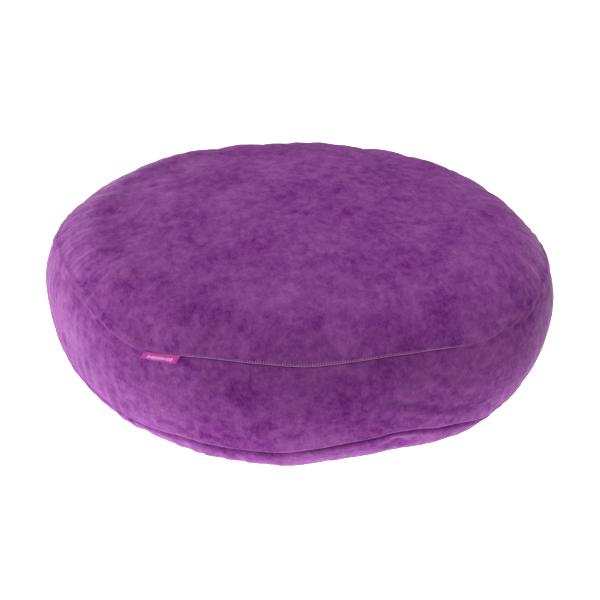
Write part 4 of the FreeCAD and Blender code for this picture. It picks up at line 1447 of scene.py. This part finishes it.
def makeZipCoil(name, side, node):
    clear = zipCoil["endClear"] / radius
    shift = zipCoil["stagger"] * (1 - side) * zipCoil["pitch"] / radius
    azimuth = np.linspace(zipStart + clear + shift, zipEnd - clear - zipCoil["pitch"] / radius + shift,
                          zipSewing["points"])
    along = np.full_like(azimuth, widestLine + side * zipCoil["offset"])
    points = onCover(azimuth, along, -zipCoil["depth"])
    row = makeRow(name, coils, [(points, coverNormal(azimuth, along), False)],
                  {"Pitch": zipCoil["pitch"], "Reach": zipCoil["reach"], "Height": zipCoil["height"],
                   "Wire": zipCoil["wire"], "Lean": -side * zipCoil["lean"],
                   "Finish": finishes["zip_coil"]})
    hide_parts(node)
    return row


stitches = stitchTree()
coils = coilTree()
upperSewing = makeSeamSewing("upperSeam", upperLine, 0.0, "upper_seam_thread")
lowerSewing = makeSeamSewing("lowerSeam", lowerLine, seamSewing["lowerDepth"], "lower_seam_thread")
joinStitches = makeJoinSewing()
zipRows = [makeZipSewing("zipStitchingUpper", -1, "zip_stitching_upper"),
           makeZipSewing("zipStitchingLower", 1, "zip_stitching_lower")]
zipCoils = [makeZipCoil("zipCoilUpper", -1, "zip_coil_upper"),
            makeZipCoil("zipCoilLower", 1, "zip_coil_lower")]
print("sewing and zip coils made")


# label

labelShape = {
    "azimuth": math.radians(240.5),
    "width": 54 * mm,
    "drop": 10 * mm,
    "cloth": 0.42 * mm,
    "fold": 0.6 * mm,           # half the gap between the two layers at the fold
    "lift": 0.55 * mm,          # the back layer's stand off the band
    "curl": 2.6 * mm,           # how far the right end stands off
    "sway": 4 * mm,             # its free edge hangs this far to the left
    "curlFrom": 0.15,           # as a share of its width, from the middle
    "ripple": (0.5 * mm, 9, 1),     # height, turns and start of its free edge's small waves
    "seamTuck": 0.9 * mm,       # it dips this much where it goes into the seam
    "tuckFade": 3 * mm,
    "columns": 64,
    "rows": 14,
    "foldSteps": 8,
}


def labelSection():
    # the folded label's outline from the seam, down the front, round the fold and up the back:
    # each point is a drop and a stand-off of the outside, then of the inside
    drop, fold, cloth = labelShape["drop"], labelShape["fold"], labelShape["cloth"]
    middle = labelShape["lift"] + fold
    straight = drop - fold
    outside, inside = [], []
    for share in np.linspace(0, 1, labelShape["rows"]):
        outside.append((share * straight, middle + fold))
        inside.append((share * straight, middle + fold - cloth))
    for step in range(1, labelShape["foldSteps"]):
        turn = step * math.pi / labelShape["foldSteps"]
        outside.append((straight + fold * math.sin(turn), middle + fold * math.cos(turn)))
        inside.append((straight + (fold - cloth) * math.sin(turn), middle + (fold - cloth) * math.cos(turn)))
    for share in np.linspace(1, 0, labelShape["rows"]):
        outside.append((share * straight, middle - fold))
        inside.append((share * straight, middle - fold + cloth))
    return outside, inside


def makeLabel():
    width = labelShape["width"]
    share = np.linspace(-0.5, 0.5, labelShape["columns"])
    azimuth = labelShape["azimuth"] + share * width / upperRadius
    height, turns, begin = labelShape["ripple"]
    curl = labelShape["curl"] * smoothStep(share, labelShape["curlFrom"], 0.5)
    curl = curl + height * np.sin(share * turns + begin) ** 2
    rings = []
    for layer in labelSection():
        ring = []
        for down, out in layer:
            swung = azimuth - labelShape["sway"] * down / labelShape["drop"] / upperRadius
            along = upperLine(swung) + down
            loose = curl * smoothStep(down, 0, labelShape["drop"])
            rise = relief(swung, along, puff)
            tuck = labelShape["seamTuck"] * (1 - smoothStep(down, 0, labelShape["tuckFade"]))
            ring.append(onCover(swung, along, rise + out + loose - tuck))
        rings.append(ring)
    outer, inner = np.array(rings[0]), np.array(rings[1])
    label = makeShell("seamLabel", outer, inner, closed=False)
    rows, columns = outer.shape[:2]
    weave = label.data.uv_layers.new(name="labelWeave")
    index = np.zeros(len(label.data.loops), int)
    label.data.loops.foreach_get("vertex_index", index)
    index = index % (rows * columns)
    uv = np.stack([index % columns / (columns - 1), index // columns / (rows - 1)], -1)
    weave.data.foreach_set("uv", uv.ravel())
    label.data.materials.append(finishes["label"])
    return label


seamLabel = makeLabel()


metalEdge = {
    "slider": 0.22 * mm,
    "pull": 0.3 * mm,
    "stop": 0.25 * mm,
    "segments": 2,
    "sharp": math.radians(40),  # edges sharper than this are rounded
}


def softened(node, width, name):
    # a copy of a small metal part with its edges rounded
    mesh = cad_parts[node].data.copy()
    mesh.name = name
    piece = linked(name, mesh)
    work = bmesh.new()
    work.from_mesh(mesh)
    bmesh.ops.remove_doubles(work, verts=work.verts, dist=weldReach)
    bmesh.ops.recalc_face_normals(work, faces=work.faces)
    work.to_mesh(mesh)
    work.free()
    edge = piece.modifiers.new("edge", "BEVEL")
    edge.width = width
    edge.segments = metalEdge["segments"]
    edge.limit_method = "ANGLE"
    edge.angle_limit = metalEdge["sharp"]
    applied(piece)
    piece.data.materials.clear()
    piece.data.materials.append(finishes["zip_metal"])
    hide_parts(node)
    return piece


zipSlider = softened("zip_slider", metalEdge["slider"], "zipSlider")
zipPull = softened("zip_pull", metalEdge["pull"], "zipPull")
zipTopStops = softened("zip_top_stops", metalEdge["stop"], "zipTopStops")
zipBottomStop = softened("zip_bottom_stop", metalEdge["stop"], "zipBottomStop")
print("label and zip metal made")


# what each piece rides on, and what it stands for

for piece, node in ((topPanel, "top_panel"), (bottomPanel, "bottom_panel"), (frontBand, "front_band"),
                    (rearBandUpper, "rear_band_upper"), (rearBandLower, "rear_band_lower")):
    piece.data.materials.append(finishes["plush"])
    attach(piece, "cushion")
    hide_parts(node)

for piece, node in ((waddingTop, "wadding_top"), (waddingSide, "wadding_side"),
                    (waddingBottom, "wadding_bottom")):
    piece.data.materials.append(finishes["wadding"])
    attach(piece, "cushion")
    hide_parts(node)

for piece in (*upperSewing, *lowerSewing, joinStitches, *zipRows):
    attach(piece, "cushion")

for piece in zipCoils:
    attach(piece, "cushion")

for piece, body in ((zipSlider, "slider"), (zipPull, "pull"), (zipTopStops, "cushion"),
                    (zipBottomStop, "cushion")):
    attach(piece, body)

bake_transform(seamLabel)
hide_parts("seam_label")

# the pieces that stay as the frame has them, by finish
carried = {
    "zip_tape": ["zip_tape_upper", "zip_tape_lower"],
    "chamber_film": ["bladder_top", "bladder_side", "bladder_bottom"]
                    + [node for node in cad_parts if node.startswith("tension_web")],
    "valve_plastic": ["valve_body", "valve_plug"],
}
for slot, nodes in carried.items():
    for node in nodes:
        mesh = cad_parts[node].data
        mesh.materials.clear()
        mesh.materials.append(finishes[slot])
print("pieces placed on their bodies")


# camera, floor and light

cameraPlace = {
    "distance": 8 * radius,
    "elevation": math.radians(26),
    "lens": 120,
    "roll": 0.017,
    "shift": (0.0027, -0.0245),
}

studio = {
    "floorSize": 40.0,
    "floorDrop": 0.4 * mm,
    "floor": (0.40, 0.40, 0.40, 1),
    "floorRough": 0.9,
    "glow": (1.0, 1.0, 1.0, 1),
    "floorGlow": 1.1,           # the floor is a light table
    "spotRadius": 0.44,         # and brighter under the cushion
    "spotGlow": 2.1,
    "spotSides": 48,
    "world": (1.0, 1.0, 1.0, 1),
    "worldStrength": 0.09,
}

# place, what it points at, size across and up, power
softLights = {
    "leftLight": ((-1.7, -0.1, 0.08), (0, 0, 0.1), (1.2, 0.14), 23.0),
    "topLight": ((0.1, 0.2, 2.5), (0, 0, 0.1), (2.2, 2.2), 64.0),
}


def makeCamera():
    camera = bpy.data.objects.new("camera", bpy.data.cameras.new("camera"))
    bpy.context.scene.collection.objects.link(camera)
    bpy.context.scene.camera = camera
    camera.data.lens = cameraPlace["lens"]
    camera.data.shift_x, camera.data.shift_y = cameraPlace["shift"]
    lift, away = cameraPlace["elevation"], cameraPlace["distance"]
    camera.location = (0, -away * math.cos(lift), widestHeight + away * math.sin(lift))
    camera.rotation_euler = (math.pi / 2 - lift, 0, 0)
    camera.rotation_euler.rotate_axis("Z", cameraPlace["roll"])


def makeStage(name, outline, height, glow):
    # one flat, glowing sheet that isn't part of the cushion
    mesh = bpy.data.meshes.new(name)
    mesh.from_pydata([(x, y, 0) for x, y in outline], [], [range(len(outline))])
    sheet = linked(name, mesh)
    sheet.location.z = height
    material, _, shader = newMaterial(f"{name}White", studio["floorRough"], specular=0.1)
    shader.inputs["Base Color"].default_value = studio["floor"]
    shader.inputs["Emission Color"].default_value = studio["glow"]
    shader.inputs["Emission Strength"].default_value = glow
    mesh.materials.append(material)


def makeFloor():
    half = studio["floorSize"]
    corners = [(-half, -half), (half, -half), (half, half), (-half, half)]
    makeStage("studioFloor", corners, -studio["floorDrop"], studio["floorGlow"])
    turns = np.linspace(0, 2 * math.pi, studio["spotSides"], endpoint=False)
    size = studio["spotRadius"]
    spot = [(size * math.cos(turn), size * math.sin(turn)) for turn in turns]
    makeStage("lightSpot", spot, -studio["floorDrop"] / 2, studio["spotGlow"])


def makeLights():
    scene = bpy.context.scene
    scene.world = bpy.data.worlds.new("studio")
    scene.world.use_nodes = True
    background = scene.world.node_tree.nodes["Background"]
    background.inputs["Color"].default_value = studio["world"]
    background.inputs["Strength"].default_value = studio["worldStrength"]
    for name, (place, target, size, power) in softLights.items():
        light = bpy.data.lights.new(name, "AREA")
        light.shape = "RECTANGLE"
        light.size, light.size_y = size
        light.energy = power
        lamp = bpy.data.objects.new(name, light)
        lamp.location = place
        lamp.rotation_euler = (Vector(target) - lamp.location).to_track_quat("-Z", "Y").to_euler()
        lamp.visible_camera = False
        scene.collection.objects.link(lamp)
    scene.view_settings.view_transform = "Standard"


makeCamera()
makeFloor()
makeLights()
print("camera, floor and lights placed")
